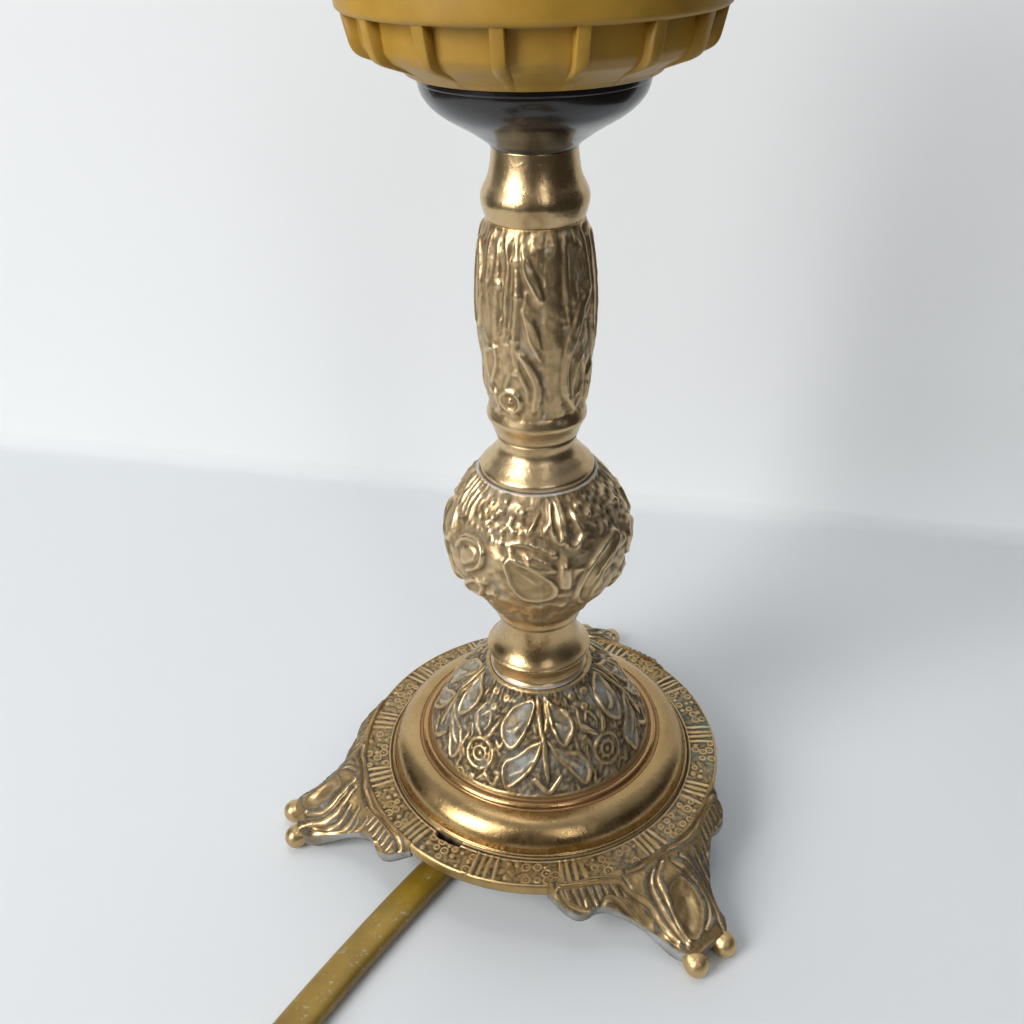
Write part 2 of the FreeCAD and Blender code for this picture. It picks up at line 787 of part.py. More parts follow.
# ---------------------------------------------------------------- flat twin lead
def flat_section(place, along, across):
    """The lead's cross-section: a flat strip with bevelled edges, square to `along`."""
    up = along.cross(across).normalize()
    half = d.cord_width.value / 2
    thick = d.cord_thickness.value / 2
    bevel = d.cord_edge.value
    corners = [
        (half - bevel, -thick), (half, bevel - thick), (half, thick - bevel),
        (half - bevel, thick), (bevel - half, thick), (-half, thick - bevel),
        (-half, bevel - thick), (bevel - half, -thick),
    ]
    points = [place + across * a + up * b for a, b in corners]
    return Part.makePolygon(points + points[:1])


def section_area():
    return d.cord_width.value * d.cord_thickness.value - 2 * d.cord_edge.value ** 2


def round_corners(route):
    """Straight runs joined by tangent arcs. Prints and returns with the radii."""
    points = [FreeCAD.Vector(*p) for p in route]
    edges = []
    radii = []
    start = points[0]
    for before, corner, after in zip(points, points[1:], points[2:]):
        back = (before - corner)
        ahead = (after - corner)
        turn = math.pi - back.getAngle(ahead)
        take = CORNER_SHARE * min(back.Length, ahead.Length)
        radii.append(take / math.tan(turn / 2))
        back.normalize()
        ahead.normalize()
        first = corner + back * take
        last = corner + ahead * take
        inward = (back + ahead).normalize()
        middle = corner + inward * (radii[-1] / math.cos(turn / 2) - radii[-1])
        edges.append(Part.LineSegment(start, first).toShape())
        edges.append(Part.Arc(first, middle, last).toShape())
        start = last
    edges.append(Part.LineSegment(start, points[-1]).toShape())
    return edges, radii


def swept(label, edges, along, across):
    """A lead swept along edges, checked against its section times its length."""
    path = Part.Wire(edges)
    section = flat_section(edges[0].Vertexes[0].Point, along, across)
    solid = path.makePipeShell([section], True, False)
    thing = doc.addObject("Part::Feature", label)
    thing.Shape = solid
    share = solid.Volume / (section_area() * path.Length)
    print(f"{label}: {path.Length:.1f} mm long, volume {share:.4f} of section times length")
    return node(thing, label), path.Length


def heading(start, end):
    return math.degrees(math.atan2(end[1] - start[1], end[0] - start[0]))


def lead():
    edges, radii = round_corners(LEAD_ROUTE)
    print("cord_lead radii", [round(r, 1) for r in radii])
    down = FreeCAD.Vector(*LEAD_ROUTE[1]) - FreeCAD.Vector(*LEAD_ROUTE[0])
    level = FreeCAD.Vector(*LEAD_ROUTE[2]) - FreeCAD.Vector(*LEAD_ROUTE[1])
    across = level.cross(down).normalize()
    return swept("cord_lead", edges, down.normalize(), across)[1]


length_so_far = lead()

exit_heading = heading(LEAD_ROUTE[1], LEAD_ROUTE[2])
stem_cord = doc.addObject("Part::Extrusion", "stem_cord_strip")
strip = doc.addObject("Part::Feature", "stem_cord_section")
strip.Shape = Part.Face(flat_section(
    FreeCAD.Vector(0, 0, LEAD_ROUTE[0][2]), FreeCAD.Vector(0, 0, 1),
    FreeCAD.Vector(-math.sin(math.radians(exit_heading)), math.cos(math.radians(exit_heading)), 0)))
stem_cord.Base = strip
stem_cord.DirMode = "Custom"
stem_cord.Dir = FreeCAD.Vector(0, 0, 1)
bind(stem_cord, LengthFwd=pipe_top - 1.0 - LEAD_ROUTE[0][2])
stem_cord.Solid = True
node(stem_cord, "stem_cord")


def core_tails():
    """The two cores, from the end of the sheath to the terminal screws."""
    low = pipe_top.value - 1.0
    high = cap_shelf_z.value - d.core_radius.value - d.cord_lay_gap.value
    bend = 1.3 * d.core_radius.value
    tails = []
    for side in (-1, 1):
        x = side * d.core_spacing.value / 2
        touch = side * (d.terminal_offset.value - d.terminal_head_radius.value - 0.05)
        start = FreeCAD.Vector(x, 0, low)
        first = FreeCAD.Vector(x, 0, high - bend)
        last = FreeCAD.Vector(x + side * bend, 0, high)
        slant = bend * (1 - math.cos(math.pi / 4))
        middle = FreeCAD.Vector(x + side * slant, 0, high - slant)
        edges = [
            Part.LineSegment(start, first).toShape(),
            Part.Arc(first, middle, last).toShape(),
            Part.LineSegment(last, FreeCAD.Vector(touch, 0, high)).toShape(),
        ]
        ring = Part.Wire(Part.makeCircle(d.core_radius.value, start, FreeCAD.Vector(0, 0, 1)))
        tails.append(Part.Wire(edges).makePipeShell([ring], True, False))
    thing = doc.addObject("Part::Feature", "cores")
    thing.Shape = Part.makeCompound(tails)
    node(thing, "core_tails")


core_tails()


# ---------------------------------------------------------------- in-line switch
switch_heading = heading(LEAD_ROUTE[-2], LEAD_ROUTE[-1])
switch_run = FreeCAD.Vector(
    math.cos(math.radians(switch_heading)), math.sin(math.radians(switch_heading)), 0)
switch_inlet = FreeCAD.Vector(LEAD_ROUTE[-1][0], LEAD_ROUTE[-1][1], 0)
switch_centre = switch_inlet + switch_run * (d.switch_length.value / 2)
switch_place = FreeCAD.Placement(
    switch_centre, FreeCAD.Rotation(FreeCAD.Vector(0, 0, 1), switch_heading))
switch_outlet = switch_inlet + switch_run * d.switch_length.value
rocker_axis_z = d.switch_base_height + d.switch_cover_height - d.rocker_rise


def rounded_box(name, length, width, height, corner, edge, top):
    """A box with round upright corners and a softened upper or lower edge."""
    block = add("Part::Box", name, Length=length, Width=width, Height=height)
    block.setExpression("Placement.Base.x", (-(length / 2)).formula)
    block.setExpression("Placement.Base.y", (-(width / 2)).formula)
    doc.recompute()
    upright = doc.addObject("Part::Fillet", name + "_corners")
    upright.Base = block
    upright.Edges = [
        (i + 1, corner.value, corner.value) for i, e in enumerate(block.Shape.Edges)
        if abs(e.tangentAt(0).z) > 0.9
    ]
    doc.recompute()
    face_z = height.value if top else 0.0
    soft = doc.addObject("Part::Fillet", name + "_edge")
    soft.Base = upright
    soft.Edges = [
        (i + 1, edge.value, edge.value) for i, e in enumerate(upright.Shape.Edges)
        if all(abs(v.Z - face_z) < 1e-6 for v in e.Vertexes)
    ]
    doc.recompute()
    return soft


def cut_away(name, base, tools):
    hole = tools[0]
    if len(tools) > 1:
        hole = doc.addObject("Part::MultiFuse", name + "_tools")
        hole.Shapes = tools
    cut = doc.addObject("Part::Cut", name)
    cut.Base = base
    cut.Tool = hole
    return cut


def centred_box(name, length, width, height, x, z):
    block = add("Part::Box", name, Length=length, Width=width, Height=height)
    block.setExpression("Placement.Base.x", (Length.of(x) - length / 2).formula)
    block.setExpression("Placement.Base.y", (-(width / 2)).formula)
    block.setExpression("Placement.Base.z", Length.of(z).formula)
    return block


def post(name, radius, height, x, z):
    pin = add("Part::Cylinder", name, Radius=radius, Height=height)
    pin.setExpression("Placement.Base.x", Length.of(x).formula)
    pin.setExpression("Placement.Base.z", Length.of(z).formula)
    return pin


def switch_base():
    shell = rounded_box("switch_base_block", d.switch_length, d.switch_width,
                        d.switch_base_height, d.switch_corner, d.switch_edge, False)
    tub = centred_box("switch_tub", d.switch_length - d.switch_wall * 2,
                      d.switch_width - d.switch_wall * 2, d.switch_base_height,
                      0, d.switch_wall)
    corners = doc.addObject("Part::Fillet", "switch_tub_corners")
    doc.recompute()
    corners.Base = tub
    inner = d.switch_corner.value - d.switch_wall.value
    corners.Edges = [
        (i + 1, inner, inner) for i, e in enumerate(tub.Shape.Edges)
        if abs(e.tangentAt(0).z) > 0.9
    ]
    hollow = cut_away("switch_base_hollow", shell, [corners])
    posts = [
        post("switch_post", d.switch_post_radius, d.switch_base_height - 1.0,
             d.switch_screw_offset * side, 0.5)
        for side in (-1, 1)
    ]
    joined = doc.addObject("Part::MultiFuse", "switch_base_joined")
    joined.Shapes = [hollow] + posts
    drills = [
        post("switch_drill", d.switch_screw_radius + d.thread_clearance,
             d.switch_base_height + 2.0, d.switch_screw_offset * side, -1.0)
        for side in (-1, 1)
    ] + [
        post("switch_countersink", d.switch_screw_head_radius + d.fit_gap, 2.5,
             d.switch_screw_offset * side, -1.0)
        for side in (-1, 1)
    ]
    base = cut_away("switch_base_part", joined, drills)
    base.Placement = switch_place
    node(base, "switch_base")


def switch_cover():
    shell = rounded_box("switch_cover_block", d.switch_length, d.switch_width,
                        d.switch_cover_height, d.switch_corner, d.switch_edge, True)
    roof = d.switch_cover_height - d.switch_wall
    tub = centred_box("switch_lid_tub", d.switch_length - d.switch_wall * 2,
                      d.switch_width - d.switch_wall * 2, roof, 0, 0)
    corners = doc.addObject("Part::Fillet", "switch_lid_corners")
    doc.recompute()
    corners.Base = tub
    inner = d.switch_corner.value - d.switch_wall.value
    corners.Edges = [
        (i + 1, inner, inner) for i, e in enumerate(tub.Shape.Edges)
        if abs(e.tangentAt(0).z) > 0.9
    ]
    hollow = cut_away("switch_cover_hollow", shell, [corners])
    ear_span = d.rocker_width + d.rocker_gap * 2 + d.switch_ear * 2
    ears = centred_box("switch_ears", d.rocker_pin_radius * 6, ear_span, roof, 0, 0.5)
    posts = [
        post("switch_cover_post", d.switch_post_radius, roof + 0.5,
             d.switch_screw_offset * side, 0)
        for side in (-1, 1)
    ]
    joined = doc.addObject("Part::MultiFuse", "switch_cover_joined")
    joined.Shapes = [hollow, ears] + posts
    window = centred_box("switch_window", d.rocker_length + d.rocker_gap * 2,
                         d.rocker_width + d.rocker_gap * 2, d.switch_cover_height + 2.0,
                         0, -1.0)
    hole = add("Part::Cylinder", "switch_pin_hole", Height=d.switch_width,
               Radius=d.rocker_pin_radius + d.running_gap)
    hole.Placement = FreeCAD.Placement(
        FreeCAD.Vector(), FreeCAD.Rotation(FreeCAD.Vector(1, 0, 0), -90))
    trimmed = doc.addObject("Part::Common", "switch_pin_bore")
    trimmed.Base = hole
    trimmed.Tool = centred_box("switch_pin_room", d.switch_corner, ear_span + 0.2,
                               d.switch_corner, 0, -(d.switch_corner / 2))
    hole.setExpression("Placement.Base.y", (-(d.switch_width / 2)).formula)
    trimmed.setExpression("Placement.Base.z", (rocker_axis_z - d.switch_base_height).formula)
    drills = [
        post("switch_cover_drill", d.switch_screw_radius + d.thread_clearance,
             roof - 1.5, d.switch_screw_offset * side, -1.0)
        for side in (-1, 1)
    ]
    cover = cut_away("switch_cover_part", joined, [window, trimmed] + drills)
    lift = FreeCAD.Vector(0, 0, d.switch_base_height.value)
    cover.Placement = switch_place.multiply(FreeCAD.Placement(lift, FreeCAD.Rotation()))
    node(cover, "switch_cover")


def rocker_outline(half, depth, rise, radius):
    """A rocker seen from the side, about its pin: two tilted top faces and a foot."""
    return [
        (-half, -depth * 0.35),
        (-half * 0.45, -depth),
        (half * 0.45, -depth),
        (half, -depth * 0.35),
        (half, rise),
        (half * 0.15, rise * 0.45),
        (-half * 0.15, rise * 0.45),
        (-half, rise),
    ]


def switch_rocker():
    half = d.rocker_length / 2
    body = extruded("switch_rocker", rocker_outline(half, d.rocker_depth, d.rocker_rise,
                                                    d.rocker_pin_radius), d.rocker_width)
    bore = add("Part::Cylinder", "rocker_bore", Height=d.rocker_width * 2,
               Radius=d.rocker_pin_radius + d.running_gap)
    bore.Placement = FreeCAD.Placement(
        FreeCAD.Vector(), FreeCAD.Rotation(FreeCAD.Vector(1, 0, 0), -90))
    bore.setExpression("Placement.Base.y", (-d.rocker_width).formula)
    rocker = cut_away("rocker_part", body, [bore])
    lift = FreeCAD.Placement(FreeCAD.Vector(0, 0, rocker_axis_z.value), FreeCAD.Rotation())
    tilt = FreeCAD.Placement(FreeCAD.Vector(), FreeCAD.Rotation(
        FreeCAD.Vector(0, 1, 0), -d.rocker_tilt.value))
    rocker.Placement = switch_place.multiply(lift).multiply(tilt)
    node(rocker, "switch_rocker")


def rocker_pin():
    span = d.rocker_width + d.rocker_gap * 2 + d.switch_ear * 2
    pin = add("Part::Cylinder", "rocker_pin_part", Radius=d.rocker_pin_radius, Height=span)
    across = FreeCAD.Rotation(FreeCAD.Vector(1, 0, 0), -90)
    middle = FreeCAD.Vector(0, -span.value / 2, rocker_axis_z.value)
    pin.Placement = switch_place.multiply(FreeCAD.Placement(middle, across))
    node(pin, "rocker_pin")


def switch_contacts():
    """Two fixed terminals that stand on the floor of the switch."""
    blocks = []
    for side in (-1, 1):
        foot = centred_box("switch_terminal", d.switch_contact_length,
                           d.switch_contact_width, d.switch_contact_height,
                           d.rocker_length / 2 * side + d.rocker_pin_radius * 2 * side,
                           d.switch_wall)
        blocks.append(foot)
    pair = doc.addObject("Part::Compound", "switch_terminals")
    pair.Links = blocks
    pair.Placement = switch_place
    node(pair, "switch_terminals")


def switch_screws():
    screws = []
    length = d.switch_base_height + d.switch_cover_height / 2
    for side in (-1, 1):
        head = post("switch_screw_head", d.switch_screw_head_radius, 1.2,
                    d.switch_screw_offset * side, 0.3)
        shank = post("switch_screw_shank", d.switch_screw_radius, length - 1.5,
                     d.switch_screw_offset * side, 1.5)
        screw = doc.addObject("Part::MultiFuse", "switch_screw")
        screw.Shapes = [head, shank]
        screws.append(screw)
    pair = doc.addObject("Part::Compound", "switch_screw_pair")
    pair.Links = screws
    pair.Placement = switch_place
    node(pair, "switch_screws")


switch_base()
switch_cover()
switch_rocker()
rocker_pin()
switch_contacts()
switch_screws()
length_so_far += d.switch_length.value


# ---------------------------------------------------------------- coil and plug
coil_low = d.coil_lift.value + d.cord_thickness.value / 2


def flat_way(degrees):
    angle = math.radians(degrees)
    return FreeCAD.Vector(math.cos(angle), math.sin(angle), 0)


def middle_route():
    """From the switch to the coil: a wide left-hand bend that comes down to the coil."""
    runs = d.bend_runs.value
    step = d.bend_angle.value / runs
    run = 2 * d.bend_radius.value * math.tan(math.radians(step / 2))
    height = d.switch_inlet_height.value
    place = FreeCAD.Vector(switch_outlet.x, switch_outlet.y, height)
    route = [place]
    way = switch_heading
    for index in range(int(runs) + 1):
        place = place + flat_way(way) * (0.62 * run if index == 0 else run)
        fall = min(index / (runs - 1), 1.0)
        place.z = height + (coil_low - height) * fall
        route.append(FreeCAD.Vector(place))
        way = way + (step if index < runs else 0.0)
    route[-1] = route[-2] + flat_way(way) * (run / 2)
    return route, way


def spiral_point(travelled, entry, total, centre):
    """A point of the coil, and its direction, at an angle travelled from its start.
    The spiral runs in at a steady rate, climbs a layer in the half turn where it
    reverses, and runs out again above."""
    halfway = total / 2
    inward = halfway - abs(travelled - halfway)
    radius = d.coil_radius.value - d.coil_pitch.value * inward / math.tau
    rate = -d.coil_pitch.value / math.tau * (1 if travelled < halfway else -1)
    if abs(travelled - halfway) < 1e-9:
        rate = 0.0
    climb = min(max((travelled - halfway) / math.pi + 0.5, 0.0), 1.0)
    smooth = climb ** 3 * (10 - 15 * climb + 6 * climb ** 2)
    height = coil_low + d.coil_layer.value * smooth
    steep = d.coil_layer.value * 30 * climb ** 2 * (1 - climb) ** 2 / math.pi
    angle = entry + travelled
    out = FreeCAD.Vector(math.cos(angle), math.sin(angle), 0)
    side = FreeCAD.Vector(-math.sin(angle), math.cos(angle), 0)
    place = centre + out * radius + FreeCAD.Vector(0, 0, height)
    way = (side * radius + out * rate + FreeCAD.Vector(0, 0, steep)).normalize()
    return place, way


def arc_from(a, way, b):
    """The arc that leaves a along `way` and ends at b."""
    chord = b - a
    along = FreeCAD.Vector(chord).normalize()
    lean = way - along * way.dot(along)
    if lean.Length < 1e-7:
        return Part.LineSegment(a, b).toShape()
    half_angle = along.getAngle(way) / 2
    middle = (a + b) * 0.5 + lean.normalize() * (chord.Length / 2 * math.tan(half_angle))
    return Part.Arc(a, middle, b).toShape()


def biarc(a, way_a, b, way_b):
    """Two arcs from a to b that keep both directions."""
    chord = b - a
    both = way_a + way_b
    quadratic = 2 * (1 - way_a.dot(way_b))
    linear = 2 * chord.dot(both)
    constant = -chord.dot(chord)
    root = math.sqrt(linear * linear - 4 * quadratic * constant)
    reach = 2 * -constant / (linear + root)
    joint = (a + b + (way_a - way_b) * reach) * 0.5
    first = arc_from(a, way_a, joint)
    back = arc_from(b, way_b * -1, joint)
    mid = back.valueAt((back.FirstParameter + back.LastParameter) / 2)
    return [first, Part.Arc(joint, mid, b).toShape()]


def least_gap(line, apart):
    """The least clear space between turns of the strip, on points of its centreline:
    beside, above, or across the bevelled edges."""
    width = d.cord_width.value
    thick = d.cord_thickness.value
    bevel = d.cord_edge.value
    least = 1e9
    for i, p in enumerate(line):
        for q in line[i + apart:]:
            beside = math.hypot(p.x - q.x, p.y - q.y)
            above = abs(p.z - q.z)
            slant = (beside + above - width - thick + 2 * bevel) / math.sqrt(2)
            least = min(least, max(beside - width, above - thick, slant))
    return least


def coil(start, heading_in):
    """One unbroken strip: straight in, the spiral in two layers, straight out."""
    entry = math.radians(heading_in - 90.0)
    leave = math.radians(d.coil_exit_bearing.value)
    part_turn = (leave - entry) % math.tau
    total = part_turn + math.tau * d.coil_whole_turns.value
    way_in = flat_way(heading_in)
    first = start + way_in * d.cord_width.value
    edge = FreeCAD.Vector(math.cos(entry), math.sin(entry), 0) * d.coil_radius.value
    centre = FreeCAD.Vector(first.x, first.y, 0) - edge
    steps = 2 * int(round(total / math.pi))
    marks = [total * i / steps for i in range(steps + 1)]
    spots = [spiral_point(mark, entry, total, centre) for mark in marks]
    spots[0] = (first, way_in)
    way_out = flat_way(d.coil_exit_bearing.value + 90.0)
    spots[-1] = (spots[-1][0], way_out)
    edges = [Part.LineSegment(start, first).toShape()]
    for (a, way_a), (b, way_b) in zip(spots, spots[1:]):
        edges.extend(biarc(a, way_a, b, way_b))
    last = spots[-1][0]
    tail = last + way_out * d.coil_run_out.value
    edges.append(Part.LineSegment(last, tail).toShape())
    across = way_in.cross(FreeCAD.Vector(0, 0, 1)).normalize()
    length = swept("cord_coil", edges, way_in, across)[1]
    fine = [p for e in edges for p in e.discretize(12)[:-1]]
    apart = int(0.7 * len(fine) / (total / math.tau))
    print(f"cord_coil: {total / math.tau:.2f} turns, least gap to itself "
          f"{least_gap(fine, apart):.2f} mm, centre {centre.x:.3f} {centre.y:.3f}, "
          f"entry bearing {heading_in - 90:.3f}")
    return centre, tail, way_out, length, total / math.tau


def coil_lead():
    """From the switch to the coil."""
    points, way = middle_route()
    route = [tuple(p) for p in points]
    edges, radii = round_corners(route)
    print("cord_middle route", [tuple(round(c, 2) for c in p) for p in route])
    print("cord_middle radii", [round(r, 1) for r in radii])
    along = points[1] - points[0]
    along.normalize()
    across = along.cross(FreeCAD.Vector(0, 0, 1)).normalize()
    return points[-1], way, swept("cord_middle", edges, along, across)[1]


coil_foot, coil_heading, middle_length = coil_lead()
coil_centre, coil_end, coil_exit_way, coil_length, total_turns = \
    coil(coil_foot, coil_heading)
length_so_far += middle_length + coil_length


def coil_tie():
    """A thin band round the bundle of turns, close to them at its own bearing."""
    half = total_turns / 2
    since = (d.tie_bearing.value - coil_heading + 90.0) % 360.0 / 360.0
    until = (d.coil_exit_bearing.value - d.tie_bearing.value) % 360.0 / 360.0
    deepest = max(since + math.floor(half - since), until + math.floor(half - until))
    room = d.cord_width.value / 2 + d.tie_room.value
    outside = d.coil_radius.value - d.coil_pitch.value * min(since, until) + room
    inside = d.coil_radius.value - d.coil_pitch.value * deepest - room
    wire = d.tie_sheet.value
    low = d.coil_lift.value - wire - d.cord_lay_gap.value
    high = low + d.coil_layer.value + d.cord_thickness.value + d.tie_slack.value + wire
    outer = Part.makeBox(outside - inside + 2 * wire, d.tie_width.value, high - low + wire,
                         FreeCAD.Vector(inside - wire, -d.tie_width.value / 2, low))
    hole = Part.makeBox(outside - inside, 2 * d.tie_width.value, high - low - wire,
                        FreeCAD.Vector(inside, -d.tie_width.value, low + wire))
    band = doc.addObject("Part::Feature", "tie_band")
    band.Shape = outer.cut(hole)
    band.Placement = FreeCAD.Placement(
        coil_centre, FreeCAD.Rotation(FreeCAD.Vector(0, 0, 1), d.tie_bearing.value))
    node(band, "coil_tie")


coil_tie()

plug_heading = math.degrees(math.atan2(coil_exit_way.y, coil_exit_way.x))
plug_place = FreeCAD.Placement(coil_end, FreeCAD.Rotation(FreeCAD.Vector(0, 0, 1), plug_heading))


def rounded_slice(reach, width, height, corner, middle):
    """A rounded rectangle across the plug, for its lofts."""
    w, h = width / 2, height / 2
    k = min(corner, h - 0.01)
    s = k * (1 - math.sqrt(0.5))
    def at(y, z):
        return FreeCAD.Vector(reach, y, middle + z)
    corners = [
        (at(w - k, -h), at(w - s, -h + s), at(w, -h + k)),
        (at(w, h - k), at(w - s, h - s), at(w - k, h)),
        (at(k - w, h), at(s - w, h - s), at(-w, h - k)),
        (at(-w, k - h), at(s - w, s - h), at(k - w, -h)),
    ]
    edges = []
    for i, (a, m, b) in enumerate(corners):
        edges.append(Part.Arc(a, m, b).toShape())
        edges.append(Part.LineSegment(b, corners[(i + 1) % 4][0]).toShape())
    return Part.Wire(edges)


def plug():
    lift = d.plug_face_height.value / 2 - coil_end.z
    relief = d.relief_length.value
    length = d.plug_length.value
    corner = d.plug_corner.value
    margin = d.relief_tip_margin.value
    body = Part.makeLoft([
        rounded_slice(relief, d.plug_tail_width.value, d.plug_tail_height.value, corner, lift),
        rounded_slice(relief + 0.45 * length, 0.86 * d.plug_face_width.value,
                      d.plug_face_height.value, corner, lift),
        rounded_slice(relief + length, d.plug_face_width.value, d.plug_face_height.value,
                      corner, lift),
    ], True, True)
    drills = []
    pins = []
    sleeves = []
    radius = d.plug_pin_radius.value
    sheet_size = d.plug_sleeve_sheet.value
    face = relief + length
    sunk = 8.0
    ahead = FreeCAD.Vector(1, 0, 0)
    for side in (-1, 1):
        y = side * d.plug_pin_spacing.value / 2
        foot = FreeCAD.Vector(face - sunk, y, lift)
        drills.append(Part.makeCylinder(radius, sunk + 1, foot, ahead))
        neck = Part.makeCylinder(radius - sheet_size, sunk + d.plug_sleeve_length.value, foot, ahead)
        tip_start = foot + ahead * (sunk + d.plug_sleeve_length.value)
        tip = Part.makeCylinder(
            radius, d.plug_pin_length.value - d.plug_sleeve_length.value, tip_start, ahead)
        rounded = tip.makeFillet(radius * 0.6, [
            e for e in tip.Edges if all(v.X > face + d.plug_pin_length.value - 1e-6
                                        for v in e.Vertexes) and len(e.Vertexes) == 1])
        pins.append(neck.fuse(rounded))
        tube = Part.makeCylinder(radius, sunk + d.plug_sleeve_length.value, foot, ahead)
        sleeves.append(tube.cut(neck))
    holes = drills[0].fuse(drills[1])
    for label, shape in (
        ("plug_body", body.cut(holes)),
        ("plug_pins", Part.makeCompound(pins)),
        ("plug_pin_sleeves", Part.makeCompound(sleeves)),
        ("plug_relief", Part.makeLoft([
            rounded_slice(0, d.cord_width.value + 2 * margin,
                          d.cord_thickness.value + 0.6 * margin, corner, 0),
            rounded_slice(relief, d.relief_width.value, d.relief_height.value, corner, lift),
        ], True, True)),
    ):
        thing = doc.addObject("Part::Feature", label + "_part")
        thing.Shape = shape
        thing.Placement = plug_place
        node(thing, label)


plug()
print(f"lead from the lamp to the plug {length_so_far:.0f} mm")

# ---------------------------------------------------------------- checks and export
doc.recompute()
os.makedirs("parts", exist_ok=True)
for thing in doc.Objects:
    faults = [s for s in thing.State if s in ("Invalid", "Error")]
    if faults:
        raise RuntimeError(f"{thing.Label} is {faults}")
for thing in NODES:
    shape = thing.Shape
    if shape.isNull() or not shape.isValid():
        raise RuntimeError(f"{thing.Label} has no valid shape")
for thing in NODES:
    thing.Shape.exportStep(f"parts/{thing.Label}.step")
    box = thing.Shape.BoundBox
    print(f"{thing.Label:18s} solids {len(thing.Shape.Solids)} volume {thing.Shape.Volume:9.1f} "
          f"z {box.ZMin:6.2f} to {box.ZMax:6.2f}")
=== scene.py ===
# %% [markdown]
# # Candlestick lamp, dressed
# A cast brass candlestick lamp base, about 19 cm high: a flat ring on three feet, a leafy dome, a ball
# with flowers, a slim acanthus baluster, a black lampholder with an ochre shade ring, and a flat twin
# lead. The engineering model supplies the frame; this script builds what the eye sees over it.
# %% The frame, and the box that the lamp has to stay in
import json
import math
from types import SimpleNamespace
import bpy
import numpy as np
from mathutils import Matrix, Vector

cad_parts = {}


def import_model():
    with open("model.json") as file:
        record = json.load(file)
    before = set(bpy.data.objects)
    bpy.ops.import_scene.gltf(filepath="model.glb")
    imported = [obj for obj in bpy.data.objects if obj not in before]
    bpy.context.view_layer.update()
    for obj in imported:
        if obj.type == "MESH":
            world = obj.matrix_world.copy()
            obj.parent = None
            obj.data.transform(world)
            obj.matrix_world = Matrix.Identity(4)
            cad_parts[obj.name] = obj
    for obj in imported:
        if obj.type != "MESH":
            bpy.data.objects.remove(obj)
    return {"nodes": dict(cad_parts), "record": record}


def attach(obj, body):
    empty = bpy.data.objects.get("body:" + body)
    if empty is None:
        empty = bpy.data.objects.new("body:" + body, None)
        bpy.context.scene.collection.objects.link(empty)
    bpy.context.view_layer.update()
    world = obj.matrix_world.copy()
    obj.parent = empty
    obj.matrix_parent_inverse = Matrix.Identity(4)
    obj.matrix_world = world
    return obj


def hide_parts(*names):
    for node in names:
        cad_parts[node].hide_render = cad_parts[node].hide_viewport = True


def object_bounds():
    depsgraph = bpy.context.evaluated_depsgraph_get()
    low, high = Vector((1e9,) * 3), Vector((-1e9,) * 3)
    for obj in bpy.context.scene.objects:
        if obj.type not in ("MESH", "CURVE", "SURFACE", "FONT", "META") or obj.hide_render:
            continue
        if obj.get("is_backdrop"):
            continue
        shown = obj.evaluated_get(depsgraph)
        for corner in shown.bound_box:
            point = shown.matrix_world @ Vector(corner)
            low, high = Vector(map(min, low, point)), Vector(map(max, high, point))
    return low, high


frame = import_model()
cad_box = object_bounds()
MM = 0.001
FRONT = 270.0  # the bearing that faces the camera, in degrees
# Heights above the table, in millimetres, at which the pieces on the stem meet.
RING_TOP, DOME_TOP, BALL_TOP, STEM_TOP, FERRULE_TOP = 15.0, 38.6, 84.7, 131.0, 142.0

# %% [markdown]
# ## Camera
# The photograph looks down about 32 degrees at the lamp from 24 cm away, so the nearest foot looks
# large. The place and lens come from circles on the real lamp whose true diameters are known.
# %% Camera
def camera():
    """The camera stands at 16.8 cm in front of the stem and 17.9 cm above the table."""
    pitch, yaw, roll = (math.radians(a) for a in (31.873, -1.668, -1.325))
    ahead = Vector((math.sin(yaw) * math.cos(pitch), math.cos(yaw) * math.cos(pitch),
                    -math.sin(pitch)))
    level = Vector((math.cos(yaw), -math.sin(yaw), 0))
    up = level.cross(ahead)
    right = level * math.cos(roll) + up * math.sin(roll)
    up = up * math.cos(roll) - level * math.sin(roll)
    data = bpy.data.cameras.new("camera")
    data.lens = 36.42
    data.sensor_width = 36.0
    data.clip_start = 0.01
    eye = bpy.data.objects.new("camera", data)
    bpy.context.scene.collection.objects.link(eye)
    turn = Matrix((right, up, -ahead)).transposed().to_4x4()
    eye.matrix_world = Matrix.Translation((0, -0.1678, 0.1788)) @ turn
    bpy.context.scene.camera = eye
    return eye


eye = camera()
print("camera at", [round(c, 4) for c in eye.matrix_world.translation], "lens", eye.data.lens)

# %% [markdown]
# ## Working with surfaces
# Nearly everything on this lamp is turned or cast round one axis, so a piece is a net of points: one
# way round the axis, the other way along its outline. These helpers join a net into faces, and keep
# numbers on it (how hollow or how rubbed each spot is) that the finishes read later.
# %% Nets of points
def quads(across, along, wrap_across=True, wrap_along=True, start=0):
    """Four-sided faces of a net of across x along points, numbered row by row."""
    u = np.arange(across if wrap_across else across - 1)
    v = np.arange(along if wrap_along else along - 1)
    uu, vv = np.meshgrid(u, v, indexing="ij")
    u1, v1 = (uu + 1) % across, (vv + 1) % along
    ring = [uu * along + vv, u1 * along + vv, u1 * along + v1, uu * along + v1]
    return start + np.stack(ring, -1).reshape(-1, 4)


def fans(first_row, last_row, middle):
    """Triangles that close a net's two open ends. They join each end's row of point numbers to a
    point at its middle: number `middle` for the first end, and the next number for the last."""
    sides = []
    for number, row, after in ((middle, np.roll(first_row, -1), first_row),
                               (middle + 1, last_row, np.roll(last_row, -1))):
        sides.append(np.stack([np.full(len(row), number), row, after], -1))
    return np.vstack(sides)


